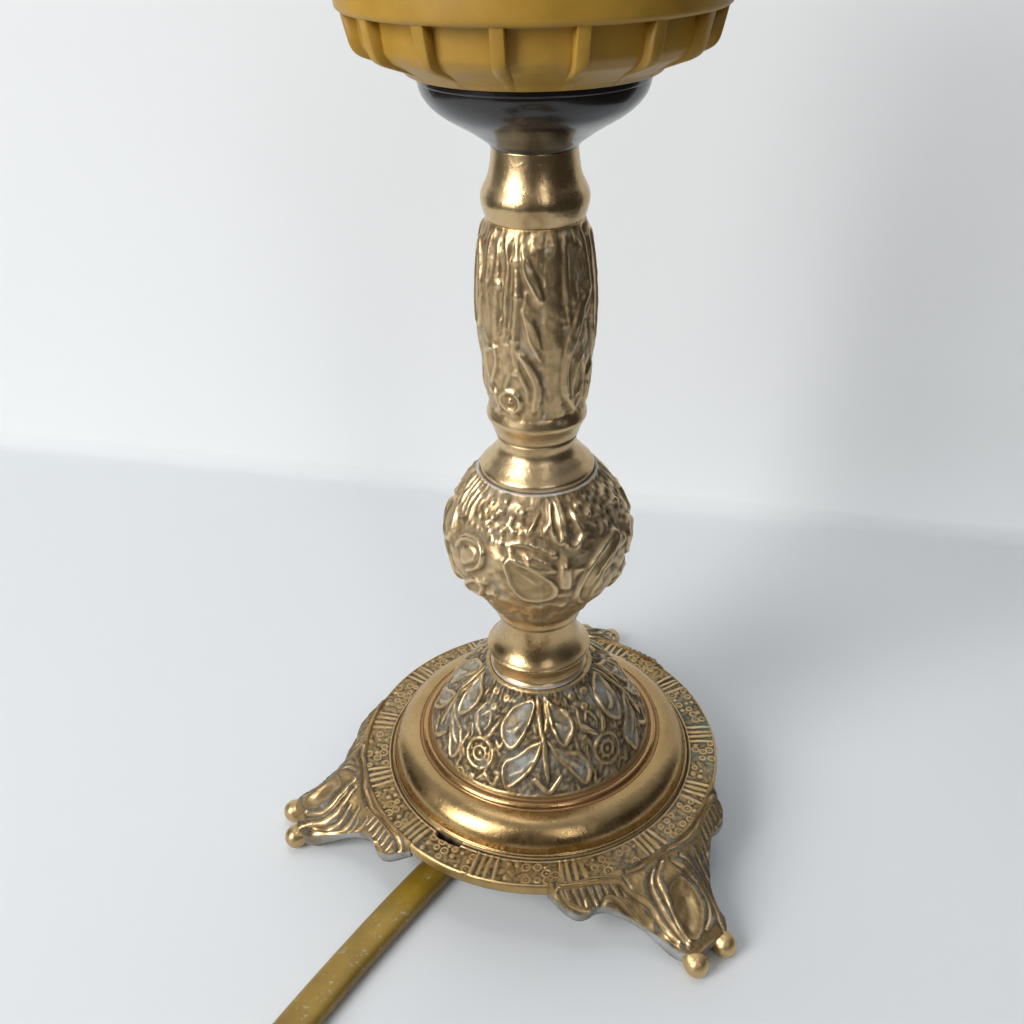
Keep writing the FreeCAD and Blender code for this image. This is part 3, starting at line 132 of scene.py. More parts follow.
def piece(name, points, faces, body="lamp", values=None):
    """One mesh from points in millimetres and lists of faces of any number of sides."""
    points = np.asarray(points, float).reshape(-1, 3) * MM
    data = bpy.data.meshes.new(name)
    data.vertices.add(len(points))
    data.vertices.foreach_set("co", points.ravel())
    sizes = np.concatenate([np.full(len(f), np.shape(f)[1]) for f in faces])
    corners = np.concatenate([np.asarray(f).ravel() for f in faces])
    data.loops.add(len(corners))
    data.loops.foreach_set("vertex_index", corners.astype(np.int32))
    data.polygons.add(len(sizes))
    data.polygons.foreach_set("loop_start", (np.cumsum(sizes) - sizes).astype(np.int32))
    data.update(calc_edges=True)
    data.polygons.foreach_set("use_smooth", np.full(len(sizes), True))
    for label, value in (values or {}).items():
        kept = data.attributes.new(label, "FLOAT", "POINT")
        kept.data.foreach_set("value", np.asarray(value, np.float32).ravel())
    thing = bpy.data.objects.new(name, data)
    bpy.context.scene.collection.objects.link(thing)
    if body:
        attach(thing, body)
    return thing


def even(line, count):
    """The same line as `count` points spaced evenly along it."""
    line = np.asarray(line, float)
    step = np.r_[0, np.cumsum(np.linalg.norm(np.diff(line, axis=0), axis=1))]
    at = np.linspace(0, step[-1], count)
    return np.column_stack([np.interp(at, step, line[:, k]) for k in range(line.shape[1])])


def flowing(points, count):
    """A smooth curve through all the points, as `count` points spaced evenly."""
    p = np.asarray(points, float)
    q = np.vstack([2 * p[0] - p[1], p, 2 * p[-1] - p[-2]])
    t = np.linspace(0, 1, 16, endpoint=False)[:, None]
    spans = []
    for i in range(len(p) - 1):
        a, b, c, e = q[i:i + 4]
        spans.append(0.5 * (2 * b + (c - a) * t + (2 * a - 5 * b + 4 * c - e) * t ** 2
                            + (3 * b - a - 3 * c + e) * t ** 3))
    return even(np.vstack(spans + [p[-1:]]), count)


def eased(points, size):
    """The closed outline with each corner rounded by a small arc of about `size`."""
    p = np.asarray(points, float)
    out = []
    for before, here, after in zip(np.roll(p, 1, axis=0), p, np.roll(p, -1, axis=0)):
        back, on = before - here, after - here
        long_back, long_on = np.linalg.norm(back), np.linalg.norm(on)
        reach = min(size, 0.45 * long_back, 0.45 * long_on)
        a, b = here + back / long_back * reach, here + on / long_on * reach
        for t in (0, 0.25, 0.5, 0.75, 1):
            out.append((1 - t) ** 2 * a + 2 * t * (1 - t) * here + t * t * b)
    return np.array(out)


def spun(outline, bearings):
    """Points of an outline (radius, height) turned to each bearing in degrees."""
    a = np.radians(bearings)[:, None]
    r, z = outline[:, 0][None], outline[:, 1][None]
    return np.stack([r * np.cos(a), r * np.sin(a), z + 0 * a], -1)


def turned(name, line, around, **numbers):
    """A solid of revolution. Its line is closed and goes up its outer side."""
    bearings = np.arange(around) * 360 / around
    values = {label: np.full(around * len(line), number) for label, number in numbers.items()}
    return piece(name, spun(line, bearings), [quads(around, len(line))], values=values)


print("surface tools ready")

# %% [markdown]
# ## Carving
# The relief is drawn the way a chaser would draw it: stems and edges are lines, leaves are outlines,
# and both are raised on the net by how far each point is from them. Distances are real millimetres on
# the metal, so a leaf keeps its size wherever it lies on the curve.
# %% Carving on a turned surface
def smooth(t):
    """0 below 0, 1 above 1, and an even S between them."""
    t = np.clip(t, 0, 1)
    return t * t * (3 - 2 * t)


def dip(value, at, width):
    """A bell: 1 where the value is `at`, falling off over `width` to both sides."""
    return np.exp(-((value - at) / width) ** 2)


class Net:
    """A turned surface laid flat: degrees round, millimetres along, and a height to carve."""

    def __init__(self, outline, around, per=360.0):
        self.turn = np.arange(around) * per / around - per / 2
        self.per = per
        steps = np.linalg.norm(np.diff(outline, axis=0), axis=1)
        self.along = np.r_[0, np.cumsum(steps)]
        self.scale = np.maximum(outline[:, 0], 1.0) * math.pi / 180
        self.level = outline[:, 1]
        self.height = np.zeros((around, len(outline)))
        self.bed = np.zeros_like(self.height)

    def place(self, points):
        """Points given as (degrees, height above the table) become (degrees, millimetres along)."""
        points = np.asarray(points, float)
        order = np.argsort(self.level)
        along = np.interp(points[:, 1], self.level[order], self.along[order])
        return np.column_stack([points[:, 0], along])

    def run(self, columns):
        """Millimetres in a degree, and millimetres along, at each point of the columns."""
        return self.scale[None], self.along[None]

    def off(self, middle, columns):
        """Degrees from a bearing to each column, the shorter way round."""
        return (self.turn[columns] - middle + self.per / 2) % self.per - self.per / 2

    def window(self, line, margin):
        """The columns within `margin` millimetres of a line."""
        low, high = line[:, 0].min(), line[:, 0].max()
        reach = (high - low) / 2 + margin / self.scale.min()
        return np.flatnonzero(np.abs(self.off((low + high) / 2, slice(None))) <= reach)

    def near(self, line, columns):
        """Distance from each point to the line, and how far along the line that is (0 to 1)."""
        scale, along = self.run(columns)
        best = np.full((len(columns), along.shape[1]), 1e9)
        part = np.zeros_like(best)
        for i, (a, b) in enumerate(zip(line[:-1], line[1:])):
            dx, dy = self.off(a[0], columns)[:, None] * scale, along - a[1]
            ex, ey = (b[0] - a[0]) * scale, b[1] - a[1]
            t = np.clip((dx * ex + dy * ey) / (ex * ex + ey * ey + 1e-9), 0, 1)
            away = np.hypot(dx - t * ex, dy - t * ey)
            closer = away < best
            best = np.where(closer, away, best)
            part = np.where(closer, (i + t) / (len(line) - 1), part)
        return best, part

    def inside(self, line, columns):
        """Which points an outline goes round."""
        middle = (line[:, 0].min() + line[:, 0].max()) / 2
        x, y = (self.off(middle, columns) + middle)[:, None], self.run(columns)[1]
        odd = np.zeros((len(columns), y.shape[1]), bool)
        for a, b in zip(line, np.roll(line, -1, axis=0)):
            crosses = (a[1] > y) != (b[1] > y)
            at = a[0] + (y - a[1]) * (b[0] - a[0]) / (b[1] - a[1] + 1e-12)
            odd ^= crosses & (x < at)
        return odd

    def lift(self, columns, rise):
        """Raises the surface to this height, where it isn't as high already."""
        here = self.height[columns]
        self.height[columns] = np.where(rise > 0, np.maximum(here, rise), here)

    def stem(self, points, width, tall, thin=0.5, count=22):
        """A rounded line. It narrows to `thin` of its width at both ends."""
        line = flowing(self.place(points), count)
        columns = self.window(line, width + 0.3)
        away, part = self.near(line, columns)
        wide = width * (thin + (1 - thin) * np.sin(math.pi * np.clip(part, 0.02, 0.98)) ** 0.6)
        rise = tall * np.sqrt(np.clip(1 - (away / wide) ** 2, 0, 1)) * (wide / width)
        soft = tall * 0.35 * np.clip(1 - away / (wide * 1.5), 0, 1) ** 2
        self.lift(columns, np.maximum(rise, soft))

    def depth(self, points, count, margin):
        """For a closed outline: the columns near it, and how deep inside it each point lies."""
        line = flowing(self.place(np.vstack([points, points[:1]])), count)
        columns = self.window(line, margin)
        away, _ = self.near(line, columns)
        return columns, np.where(self.inside(line[:-1], columns), away, -away)

    def leaf(self, points, edge, bead, dish, soft=0.35):
        """A closed outline with a raised edge and a shallow bed."""
        columns, deep = self.depth(points, 40, 1.0)
        rim = edge * dip(deep, bead * 0.6, bead)
        bed = dish * smooth(deep / 0.6)
        self.lift(columns, np.maximum(rim, bed) * smooth((deep + soft) / soft))
        self.bed[columns] = np.maximum(self.bed[columns], smooth((deep - bead) / 0.4))

    def pad(self, points, tall, edge):
        """A closed outline raised like a cushion."""
        columns, deep = self.depth(points, 36, 0.6)
        deep = np.where(deep < 0, 0.4 * deep, deep)
        self.lift(columns, tall * smooth(0.25 + 0.75 * deep / edge) * (deep > -0.3))

    def spot(self, centre, margin):
        """The columns near a spot, and the distance from each point to it."""
        centre = self.place([centre])[0]
        columns = self.window(centre[None], margin)
        dx = self.off(centre[0], columns)[:, None] * self.scale[None]
        return columns, np.hypot(dx, (self.along - centre[1])[None])

    def berry(self, centre, size, tall, pit=0.0):
        """A round bump, with a pit in its top."""
        columns, away = self.spot(centre, size + 0.3)
        rise = tall * np.sqrt(np.clip(1 - (away / size) ** 2, 0, 1))
        self.lift(columns, rise - pit * dip(away, 0, 0.33 * size) * (rise > 0))

    def ringlet(self, centre, size, thick, tall, dot=0.5):
        """A small ring with a dot in it."""
        columns, away = self.spot(centre, size + 0.5)
        rise = np.maximum(tall * dip(away, size, thick), tall * 0.9 * dip(away, 0, size * dot))
        self.lift(columns, np.where(rise > 0.02, rise, 0))


def drift(net, size, seed):
    """Slow random unevenness, -1 to 1: random numbers on a grid of about `size` millimetres, and
    between them a smooth mix of the four nearest."""
    rng = np.random.default_rng(seed)
    round_ = max(4, int(round(net.per * net.scale.mean() / size)))
    rows = int(net.along[-1] / size) + 3
    table = rng.uniform(-1, 1, (round_, rows))
    x, y = (net.turn / net.per % 1.0) * round_, net.along / size
    i, j = np.floor(x).astype(int), np.floor(y).astype(int)
    fx, fy = smooth(x - i)[:, None], smooth(y - j)[None]
    at = lambda a, b: table[(i + a) % round_][:, np.clip(j + b, 0, rows - 1)]
    return ((at(0, 0) * (1 - fx) + at(1, 0) * fx) * (1 - fy)
            + (at(0, 1) * (1 - fx) + at(1, 1) * fx) * fy)


def cells(net, size, spare):
    """A grid of cells of about `size` over the net, with spare rows at both ends: how many cells
    round, how many rows, and where in the grid each point is."""
    round_ = max(6, int(round(net.per * net.scale.mean() / size)))
    rows = int(net.along[-1] / size) + 2 + 2 * spare
    return (round_, rows, ((net.turn / net.per % 1.0) * round_)[:, None],
            (net.along / size + spare)[None])


def neighbours(round_, rows, x, y, far):
    """Each cell up to `far` away: where it starts, and its place in the tables of random numbers."""
    i, j = np.floor(x).astype(int), np.floor(y).astype(int)
    for a in range(-far, far + 1):
        for b in range(-far, far + 1):
            yield i + a, j + b, ((i + a) % round_, np.clip(j + b, 0, rows - 1))


def grain(net, size, seed):
    """Punched dots: the distance to the nearest of many scattered points, over their spacing."""
    round_, rows, x, y = cells(net, size, 1)
    jx, jy = np.random.default_rng(seed).uniform(0.1, 0.9, (2, round_, rows))
    best = np.full((x.size, y.size), 9.0)
    for i, j, cell in neighbours(round_, rows, x, y, 1):
        best = np.minimum(best, np.hypot(i + jx[cell] - x, j + jy[cell] - y))
    return np.clip(best, 0, 1)


def leafage(net, size, seed, lean=0.0, spread=180.0, long=1.7):
    """Overlapping leaf-like facets. Many small tilted domes lie on the surface, each with its own
    place, direction and tilt, and the height at a point is that of the highest dome over it."""
    round_, rows, x, y = cells(net, size, 2)
    rng = np.random.default_rng(seed)
    jx, jy = rng.uniform(0.1, 0.9, (2, round_, rows))
    way = np.radians(lean + rng.uniform(-spread, spread, (round_, rows)))
    tilt, rise = rng.uniform(0.25, 0.75, (round_, rows)), rng.uniform(0, 0.35, (round_, rows))
    best = np.full((x.size, y.size), -9.0)
    for i, j, cell in neighbours(round_, rows, x, y, 2):
        dx, dy = x - (i + jx[cell]), y - (j + jy[cell])
        u = dx * np.cos(way[cell]) + dy * np.sin(way[cell])
        v = dy * np.cos(way[cell]) - dx * np.sin(way[cell])
        dome = rise[cell] + tilt[cell] * u - (u / long) ** 2 - (v / 0.72) ** 2
        best = np.maximum(best, dome)
    return best


def blurred(height, times):
    """The height averaged with its neighbours, over and over."""
    for _ in range(times):
        side = (np.roll(height, 1, 0) + np.roll(height, -1, 0) + height) / 3
        up = np.concatenate([side[:, :1], side[:, :-1]], 1)
        down = np.concatenate([side[:, 1:], side[:, -1:]], 1)
        height = (up + down + side) / 3
    return height


def hollows(height):
    """How sunk each point is below its surroundings, and how much it stands out, 0 to 1."""
    near, far = blurred(height, 3), blurred(height, 15)
    sunk = 0.5 * np.clip((near - height) / 0.10, 0, 1) + 0.6 * np.clip((far - height) / 0.28, 0, 1)
    proud = 0.5 * np.clip((height - near) / 0.08, 0, 1) + 0.6 * np.clip((height - far) / 0.22, 0, 1)
    return np.clip(sunk, 0, 1), np.clip(proud, 0, 1)


def both_sides(net, outer, around):
    """A net all the way round, with the carving of half of it on the front and again behind."""
    wide = Net(outer, around)
    wide.height = np.roll(np.tile(net.height, (2, 1)), -around // 4, 0)
    return wide


def seam(wide, cast):
    """The low line left where the two halves of a mould met, just right of the front and back."""
    off = (wide.turn[:, None] + 90) % 180 - 90
    return 0.04 * cast * dip((off - 2) * wide.scale[None], 0, 0.16)


def carved(name, outer, inner, net, values):
    """A casting: its outer side with the carved height, its inner side plain, closed all round.
    A point moves by its height along the outline's normal, (dz, -dr) for a step (dr, dz)."""
    tangent = np.gradient(outer, axis=0)
    tangent /= np.linalg.norm(tangent, axis=1)[:, None]
    r = outer[:, 0][None] + tangent[:, 1][None] * net.height
    z = outer[:, 1][None] - tangent[:, 0][None] * net.height
    a = np.radians(net.turn + FRONT)[:, None]
    front = np.stack([r * np.cos(a), r * np.sin(a), z], -1)
    points = np.concatenate([front, spun(np.asarray(inner, float), net.turn + FRONT)], 1)
    sunk, proud = hollows(net.height)
    plain = np.zeros((len(net.turn), len(inner)))
    kept = {"hollow": np.concatenate([sunk, plain + 0.6], 1),
            "proud": np.concatenate([proud, plain], 1)}
    for label, value in values.items():
        kept[label] = np.concatenate([np.broadcast_to(value, net.height.shape), plain], 1)
    return piece(name, points, [quads(*points.shape[:2])], values=kept)


print("carving tools ready")

# %% [markdown]
# ## Working with finishes
# A finish is a small tree of nodes. Each method here adds one node: a number kept on the mesh, a sum,
# a mix of two colours, noise, or fine bumps. Noise is read at the piece's own coordinates.
# %% Nodes of a finish
class Finish:
    """A new material. Its methods add one node each, and give back that node's output."""

    def __init__(self, name):
        self.made = bpy.data.materials.new(name)
        self.made.use_nodes = True
        self.nodes, self.links = self.made.node_tree.nodes, self.made.node_tree.links
        self.shader = self.nodes["Principled BSDF"]

    def put(self, value, socket):
        """A number, a colour or another node's output goes into a socket."""
        if isinstance(value, (int, float)):
            socket.default_value = value
        elif isinstance(value, tuple):
            socket.default_value = value + (1,)
        else:
            self.links.new(value, socket)

    def set(self, **values):
        """Sets the shader's sockets. Roughness=0.3 sets Roughness, Coat_Weight=1 Coat Weight."""
        for name, value in values.items():
            self.put(value, self.shader.inputs[name.replace("_", " ")])

    def number(self, label):
        """A number that the mesh carries."""
        node = self.nodes.new("ShaderNodeAttribute")
        node.attribute_name = label
        return node.outputs["Fac"]

    def maths(self, kind, a, b, clamp):
        node = self.nodes.new("ShaderNodeMath")
        node.operation, node.use_clamp = kind, clamp
        self.put(a, node.inputs[0])
        self.put(b, node.inputs[1])
        return node.outputs[0]

    def times(self, a, b):
        return self.maths("MULTIPLY", a, b, True)

    def plus(self, a, b, clamp=False):
        return self.maths("ADD", a, b, clamp)

    def less(self, a, b, clamp=True):
        return self.maths("SUBTRACT", a, b, clamp)

    def over(self, share, a, b):
        """Colour a, with colour b over it where the share is 1."""
        node = self.nodes.new("ShaderNodeMix")
        node.data_type = "RGBA"
        self.put(share, node.inputs[0])
        self.put(a, node.inputs[6])
        self.put(b, node.inputs[7])
        return node.outputs[2]

    def spread(self, value, low, high):
        """The value as a share: 0 at low, 1 at high."""
        node = self.nodes.new("ShaderNodeMapRange")
        self.put(low, node.inputs["From Min"])
        self.put(high, node.inputs["From Max"])
        self.links.new(value, node.inputs["Value"])
        return node.outputs[0]

    def place(self):
        return self.nodes.new("ShaderNodeTexCoord").outputs["Object"]

    def noise(self, scale, detail, rough, low=0.35, high=0.65):
        node = self.nodes.new("ShaderNodeTexNoise")
        for name, value in (("Vector", self.place()), ("Scale", scale), ("Detail", detail),
                            ("Roughness", rough)):
            self.put(value, node.inputs[name])
        return self.spread(node.outputs["Fac"], low, high)

    def bump(self, height, strength, distance):
        node = self.nodes.new("ShaderNodeBump")
        self.put(strength, node.inputs["Strength"])
        self.put(distance, node.inputs["Distance"])
        self.links.new(height, node.inputs["Height"])
        self.links.new(node.outputs[0], self.shader.inputs["Normal"])


print("finish tools ready")

# %% [markdown]
# ## Stage
# The photograph was taken on pale grey paper that bends up close behind the lamp, with one large soft
# light to the left of the camera. The right side of the brass faces a darker room. The paper's bend
# shows as a faint slanting line.
# %% Paper
def sheet_of_paper():
    """Paper that lies on the table, then rises in a small round bend. It is turned a little."""
    bend, away, turn, top = 5.0, 126.5, math.radians(11.5), 420.0
    line = [(-300.0, 0.0), (away - bend, 0.0)]
    for a in np.radians(np.arange(1, 9) * 90 / 8):
        line.append((away - bend + bend * math.sin(a), bend - bend * math.cos(a)))
    line.append((away, top))
    points = []
    for x in (-330.0, 176.0):
        for y, z in line:
            points.append((x * math.cos(turn) + y * math.sin(turn),
                           y * math.cos(turn) - x * math.sin(turn), z - 0.05))
    made = piece("paper", points, [quads(2, len(line), False, False)], None)
    made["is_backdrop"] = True
    return made


def paper_finish():
    """Painted light on one sheet of paper: the wall part is painted lighter than the floor and lighter
    again towards its right, where it also emits a faint painted light. The paper is clear from behind,
    so that views from there show the lamp."""
    paper = Finish("paper")
    split = paper.nodes.new("ShaderNodeSeparateXYZ")
    paper.links.new(paper.place(), split.inputs[0])
    upward = paper.spread(split.outputs["Z"], 0.0004, 0.006)
    right = paper.spread(split.outputs["X"], -0.05, 0.17)
    # Painted light: the wall part is lighter than the floor, and lighter again towards the right.
    wall = paper.over(right, (0.85, 0.875, 0.89), (0.90, 0.93, 0.95))
    # Painted light: a faint emission towards the right of the wall part.
    painted_glow = paper.times(paper.spread(split.outputs["X"], 0.02, 0.22), upward)
    paper.set(Base_Color=paper.over(upward, (0.735, 0.765, 0.79), wall), Roughness=0.9,
              Specular_IOR_Level=0.1, Emission_Strength=paper.times(painted_glow, 0.12),
              Emission_Color=(0.93, 0.96, 1.0))
    behind = paper.nodes.new("ShaderNodeNewGeometry")
    clear = paper.nodes.new("ShaderNodeBsdfTransparent")
    either = paper.nodes.new("ShaderNodeMixShader")
    for output, socket in ((behind.outputs["Backfacing"], either.inputs[0]),
                           (paper.shader.outputs[0], either.inputs[1]),
                           (clear.outputs[0], either.inputs[2])):
        paper.links.new(output, socket)
    paper.links.new(either.outputs[0], paper.nodes["Material Output"].inputs["Surface"])
    return paper.made


paper = sheet_of_paper()
paper.data.materials.append(paper_finish())
print("paper", len(paper.data.vertices), "points")

# %% Room and lights
def world():
    """Light from all round: pale from above and behind, dark in front, and plain to the camera."""
    made = bpy.data.worlds.new("room")
    bpy.context.scene.world = made
    made.use_nodes = True
    nodes, links = made.node_tree.nodes, made.node_tree.links
    nodes.clear()
    place = nodes.new("ShaderNodeTexCoord")
    dot = nodes.new("ShaderNodeVectorMath")
    dot.operation = "DOT_PRODUCT"
    dot.inputs[1].default_value = Vector((0.0, 0.45, 0.90)).normalized()
    share = nodes.new("ShaderNodeMapRange")
    share.inputs["From Min"].default_value = -0.7
    share.inputs["From Max"].default_value = 0.9
    ramp = nodes.new("ShaderNodeValToRGB")
    dark, pale = ramp.color_ramp.elements
    dark.color, dark.position = (0.040, 0.037, 0.034, 1), 0.62
    pale.color = (0.44, 0.465, 0.50, 1)
    room = nodes.new("ShaderNodeBackground")
    plain = nodes.new("ShaderNodeBackground")
    plain.inputs["Color"].default_value = (0.82, 0.85, 0.87, 1)
    path = nodes.new("ShaderNodeLightPath")
    mix = nodes.new("ShaderNodeMixShader")
    out = nodes.new("ShaderNodeOutputWorld")
    for output, socket in ((place.outputs["Generated"], dot.inputs[0]),
                           (dot.outputs["Value"], share.inputs["Value"]),
                           (share.outputs[0], ramp.inputs[0]),
                           (ramp.outputs["Color"], room.inputs["Color"]),
                           (path.outputs["Is Camera Ray"], mix.inputs[0]),
                           (room.outputs[0], mix.inputs[1]), (plain.outputs[0], mix.inputs[2]),
                           (mix.outputs[0], out.inputs["Surface"])):
        links.new(output, socket)


def soft_light(name, at, width, height, power, colour=(1, 1, 1)):
    """A rectangular light that faces the middle of the lamp."""
    data = bpy.data.lights.new(name, "AREA")
    data.shape = "RECTANGLE"
    data.size, data.size_y = width, height
    data.energy, data.color = power, colour
    lamp = bpy.data.objects.new(name, data)
    bpy.context.scene.collection.objects.link(lamp)
    lamp.location = at
    lamp.rotation_euler = (Vector(at) - Vector((0, 0, 0.08))).to_track_quat("Z", "Y").to_euler()
    lamp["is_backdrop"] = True


world()
soft_light("window", (-0.62, -0.50, 0.52), 0.42, 0.66, 7.6, (1.0, 0.985, 0.965))
soft_light("strip", (0.24, -0.62, 0.55), 0.05, 0.45, 0.55, (1.0, 0.99, 0.97))
soft_light("top", (-0.05, 0.10, 0.95), 0.35, 0.35, 1.2)
bpy.context.scene.view_settings.view_transform = "Standard"
print("lights", [thing.name for thing in bpy.data.lights])

# %% [markdown]
# ## The lead
# A flat twin lead in clear olive PVC, 7 mm wide and 3.5 mm thick. It leaves the pipe under the base,
# turns to the table and runs out to the left of the picture. Beyond the picture it has a switch, then
# lies in a coil of two layers and ends in a flat plug. Its line is one smooth curve, and the strip
# follows that curve, lying flat.
# %% The lead's line
LEAD = [(0, 0, 15.0), (0, 0, 8.0), (-4.6, -4.3, 1.8), (-12.3, -12.4, 1.8), (-22.3, -24.9, 1.8),
        (-33.5, -41.2, 1.8), (-44.4, -58.4, 1.8), (-49.0, -67.6, 3.2), (-52.0, -77.2, 5.0),
        (-53.5, -87.0, 5.0)]
MIDDLE = [(-62.28, -144.33, 5.0), (-63.92, -155.07, 5.0), (-62.76, -172.56, 4.18),
          (-57.84, -189.37, 3.37), (-49.4, -204.73, 2.55), (-43.62, -211.31, 2.55)]
COIL_CENTRE, COIL_RADIUS, COIL_PITCH, COIL_LAYER = (-1.058, -183.243), 50.5, 7.55, 4.15
# Where the coil is entered and left, and how far it turns, in degrees.
COIL_ENTRY, COIL_LEAVES, COIL_TURNS = -138.702, 12.0, 2310.702
COIL_LOW, COIL_HIGH = 2.55, 6.7


def coil_points(each_turn=24):
    """The coil: it runs in, climbs a layer at its middle, and runs out again on top.
    With s the share of the climb, its height is low + layer (10 s^3 - 15 s^4 + 6 s^5)."""
    total = math.radians(COIL_TURNS)
    travelled = np.linspace(0, total, int(total / math.tau * each_turn) + 1)
    inward = total / 2 - np.abs(travelled - total / 2)
    radius = COIL_RADIUS - COIL_PITCH * inward / math.tau
    radius = radius * (1 + 0.5 * (1 / math.cos(math.pi / each_turn) - 1))
    climb = np.clip((travelled - total / 2) / math.pi + 0.5, 0, 1)
    height = COIL_LOW + COIL_LAYER * climb ** 3 * (10 - 15 * climb + 6 * climb ** 2)
    angle = math.radians(COIL_ENTRY) + travelled
    points = np.column_stack([COIL_CENTRE[0] + radius * np.cos(angle),
                              COIL_CENTRE[1] + radius * np.sin(angle), height])
    return [tuple(p) for p in points]


def run_out(reach=18.0, steps=3):
    """The straight end of the lead, off the top of the coil to the plug."""
    a = math.radians(COIL_LEAVES)
    start = (COIL_CENTRE[0] + COIL_RADIUS * math.cos(a), COIL_CENTRE[1] + COIL_RADIUS * math.sin(a))
    far = [reach * k / steps for k in range(1, steps + 1)]
    return [(start[0] - d * math.sin(a), start[1] + d * math.cos(a), COIL_HIGH) for d in far]


def line_of(points, fine):
    """The smooth open curve that these points pull into shape, read back as points."""
    curve = bpy.data.curves.new("line", "CURVE")
    curve.dimensions = "3D"
    curve.resolution_u = fine
    spline = curve.splines.new("NURBS")
    spline.points.add(len(points) - 1)
    for knot, p in zip(spline.points, points):
        knot.co = (p[0] * MM, p[1] * MM, p[2] * MM, 1.0)
    spline.order_u = 3
    spline.use_endpoint_u = True
    holder = bpy.data.objects.new("line", curve)
    bpy.context.scene.collection.objects.link(holder)
    bpy.context.view_layer.update()
    data = bpy.data.meshes.new_from_object(holder)
    found = np.empty(len(data.vertices) * 3)
    data.vertices.foreach_get("co", found)
    bpy.data.objects.remove(holder)
    bpy.data.meshes.remove(data)
    found = found.reshape(-1, 3) / MM
    step = np.linalg.norm(np.diff(found, axis=0), axis=1)
    return found[np.r_[True, step > 1e-4]]


def along_length(line):
    return float(np.linalg.norm(np.diff(line, axis=0), axis=1).sum())


lead_line = line_of(LEAD, 10)
rest_line = line_of(MIDDLE + coil_points() + run_out(), 3)
print("lead", round(along_length(lead_line), 1), "mm, rest", round(along_length(rest_line), 1),
      "mm, end", rest_line[-1].round(2))

# %% The strip along it
def strip_section():
    """The lead's section: two round-edged cores side by side with a shallow valley between."""
    half, thick, edge = 3.5, 1.75, 1.35
    side = []
    for a in np.linspace(-90, 90, 9):
        side.append((half - edge + edge * math.cos(math.radians(a)),
                     (thick - edge) * np.sign(a) + edge * math.sin(math.radians(a))))
    side = np.array(side)
    top = np.array([(x, thick - 0.16 * math.exp(-(x / 0.9) ** 2)) for x in np.linspace(1.9, -1.9, 9)])
    return np.vstack([side, top, side[::-1] * (-1, 1), top[::-1] * (1, -1)])


def level_across(way, first):
    """The strip's width at each point: level, square to its way, and turning little by little."""
    across, last = np.zeros_like(way), np.asarray(first, float)
    for i, w in enumerate(way):
        level = np.array([w[1], -w[0], 0.0])
        size = np.linalg.norm(level)
        aim = level / size if size > 0.35 else last
        if aim @ last < 0:
            aim = -aim
        last = last + (aim - last) * 0.5
        last -= w * (w @ last)
        last /= np.linalg.norm(last)
        across[i] = last
    return across


def strip(name, line, first_across):
    """A flat strip along a line, closed at both ends."""
    section = strip_section()
    way = np.gradient(line, axis=0)
    way /= np.linalg.norm(way, axis=1)[:, None]
    across = level_across(way, first_across)
    up = np.cross(across, way)
    points = (line[:, None] + across[:, None] * section[None, :, :1]
              + up[:, None] * section[None, :, 1:])
    n, m = points.shape[:2]
    k = np.arange(m)
    faces, ends = quads(n, m, False, True), fans(k, (n - 1) * m + k, n * m)
    volume = np.einsum("ij,ij->i", points[:-1, 0] - line[:-1],
                       np.cross(points[:-1, 3] - line[:-1], way[:-1])).sum()
    if volume > 0:
        faces, ends = faces[:, ::-1], ends[:, ::-1]
    edge = np.abs(section[:, 0]) / section[:, 0].max()
    return piece(name, np.vstack([points.reshape(-1, 3), line[[0, -1]]]), [faces, ends],
                 values={"rim": np.r_[np.tile(edge, n), 1, 1]})


lead = strip("lead", lead_line, (0.70, -0.71, 0))
rest = strip("lead_rest", rest_line, (-0.9885, 0.1513, 0))
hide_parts("cord_lead")
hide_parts("cord_middle", "cord_coil")
print("lead", len(lead.data.vertices), "points, rest", len(rest.data.vertices), "points")

# %% [markdown]
# ## Ring and feet
# The base is one casting. A flat ring carries a worn ornament round its rim: groups of four short
# bars, and between them three rows of tiny rings and berries on a rough ground. Each foot grows out
# from under the rim as a shell and scrolls, draws in to a drop-shaped boss, and ends in two ball toes.
# %% The ring
def ring_outline():
    """The ring's top from the dome outwards, its rounded edge, and down to its underside."""
    edge = [(37.9 + 0.8 * math.sin(a), 14.2 + 0.8 * math.cos(a))
            for a in np.linspace(0, math.pi / 2, 7)[1:]]
    line = np.array([(29.0, RING_TOP), (32.2, RING_TOP), (37.9, RING_TOP)] + edge + [(38.7, 12.8)])
    return even(line[::-1], 84)


def ring_ornament(net, groups=13, seed=17):
    """Groups of four bars, and after each a field of small rings and berries, some worn away."""
    rng = np.random.default_rng(seed)
    for group in range(groups):
        start = group * 360.0 / groups + 6.5
        for k in range(4):
            x = start + 2.3 * k + rng.uniform(-0.3, 0.3)
            lean = rng.uniform(-0.5, 0.5)
            net.stem([(x, 33.1), (x + lean, 38.2)], rng.uniform(0.40, 0.56),
                     rng.uniform(0.22, 0.40), 0.7, 8)
        for r in (34.1, 35.7, 37.3):
            for k in range(6):
                if rng.uniform() < 0.30:
                    continue
                x = start + 9.4 + (k + 0.5) * 3.0 + rng.uniform(-0.5, 0.5)
                size = rng.uniform(0.45, 0.85)
                spot = (x, r + rng.uniform(-0.25, 0.25))
                if rng.uniform() < 0.40:
                    net.berry(spot, size * 0.8, 0.24)
                else:
                    net.ringlet(spot, size, 0.22, rng.uniform(0.17, 0.26), 0.30)


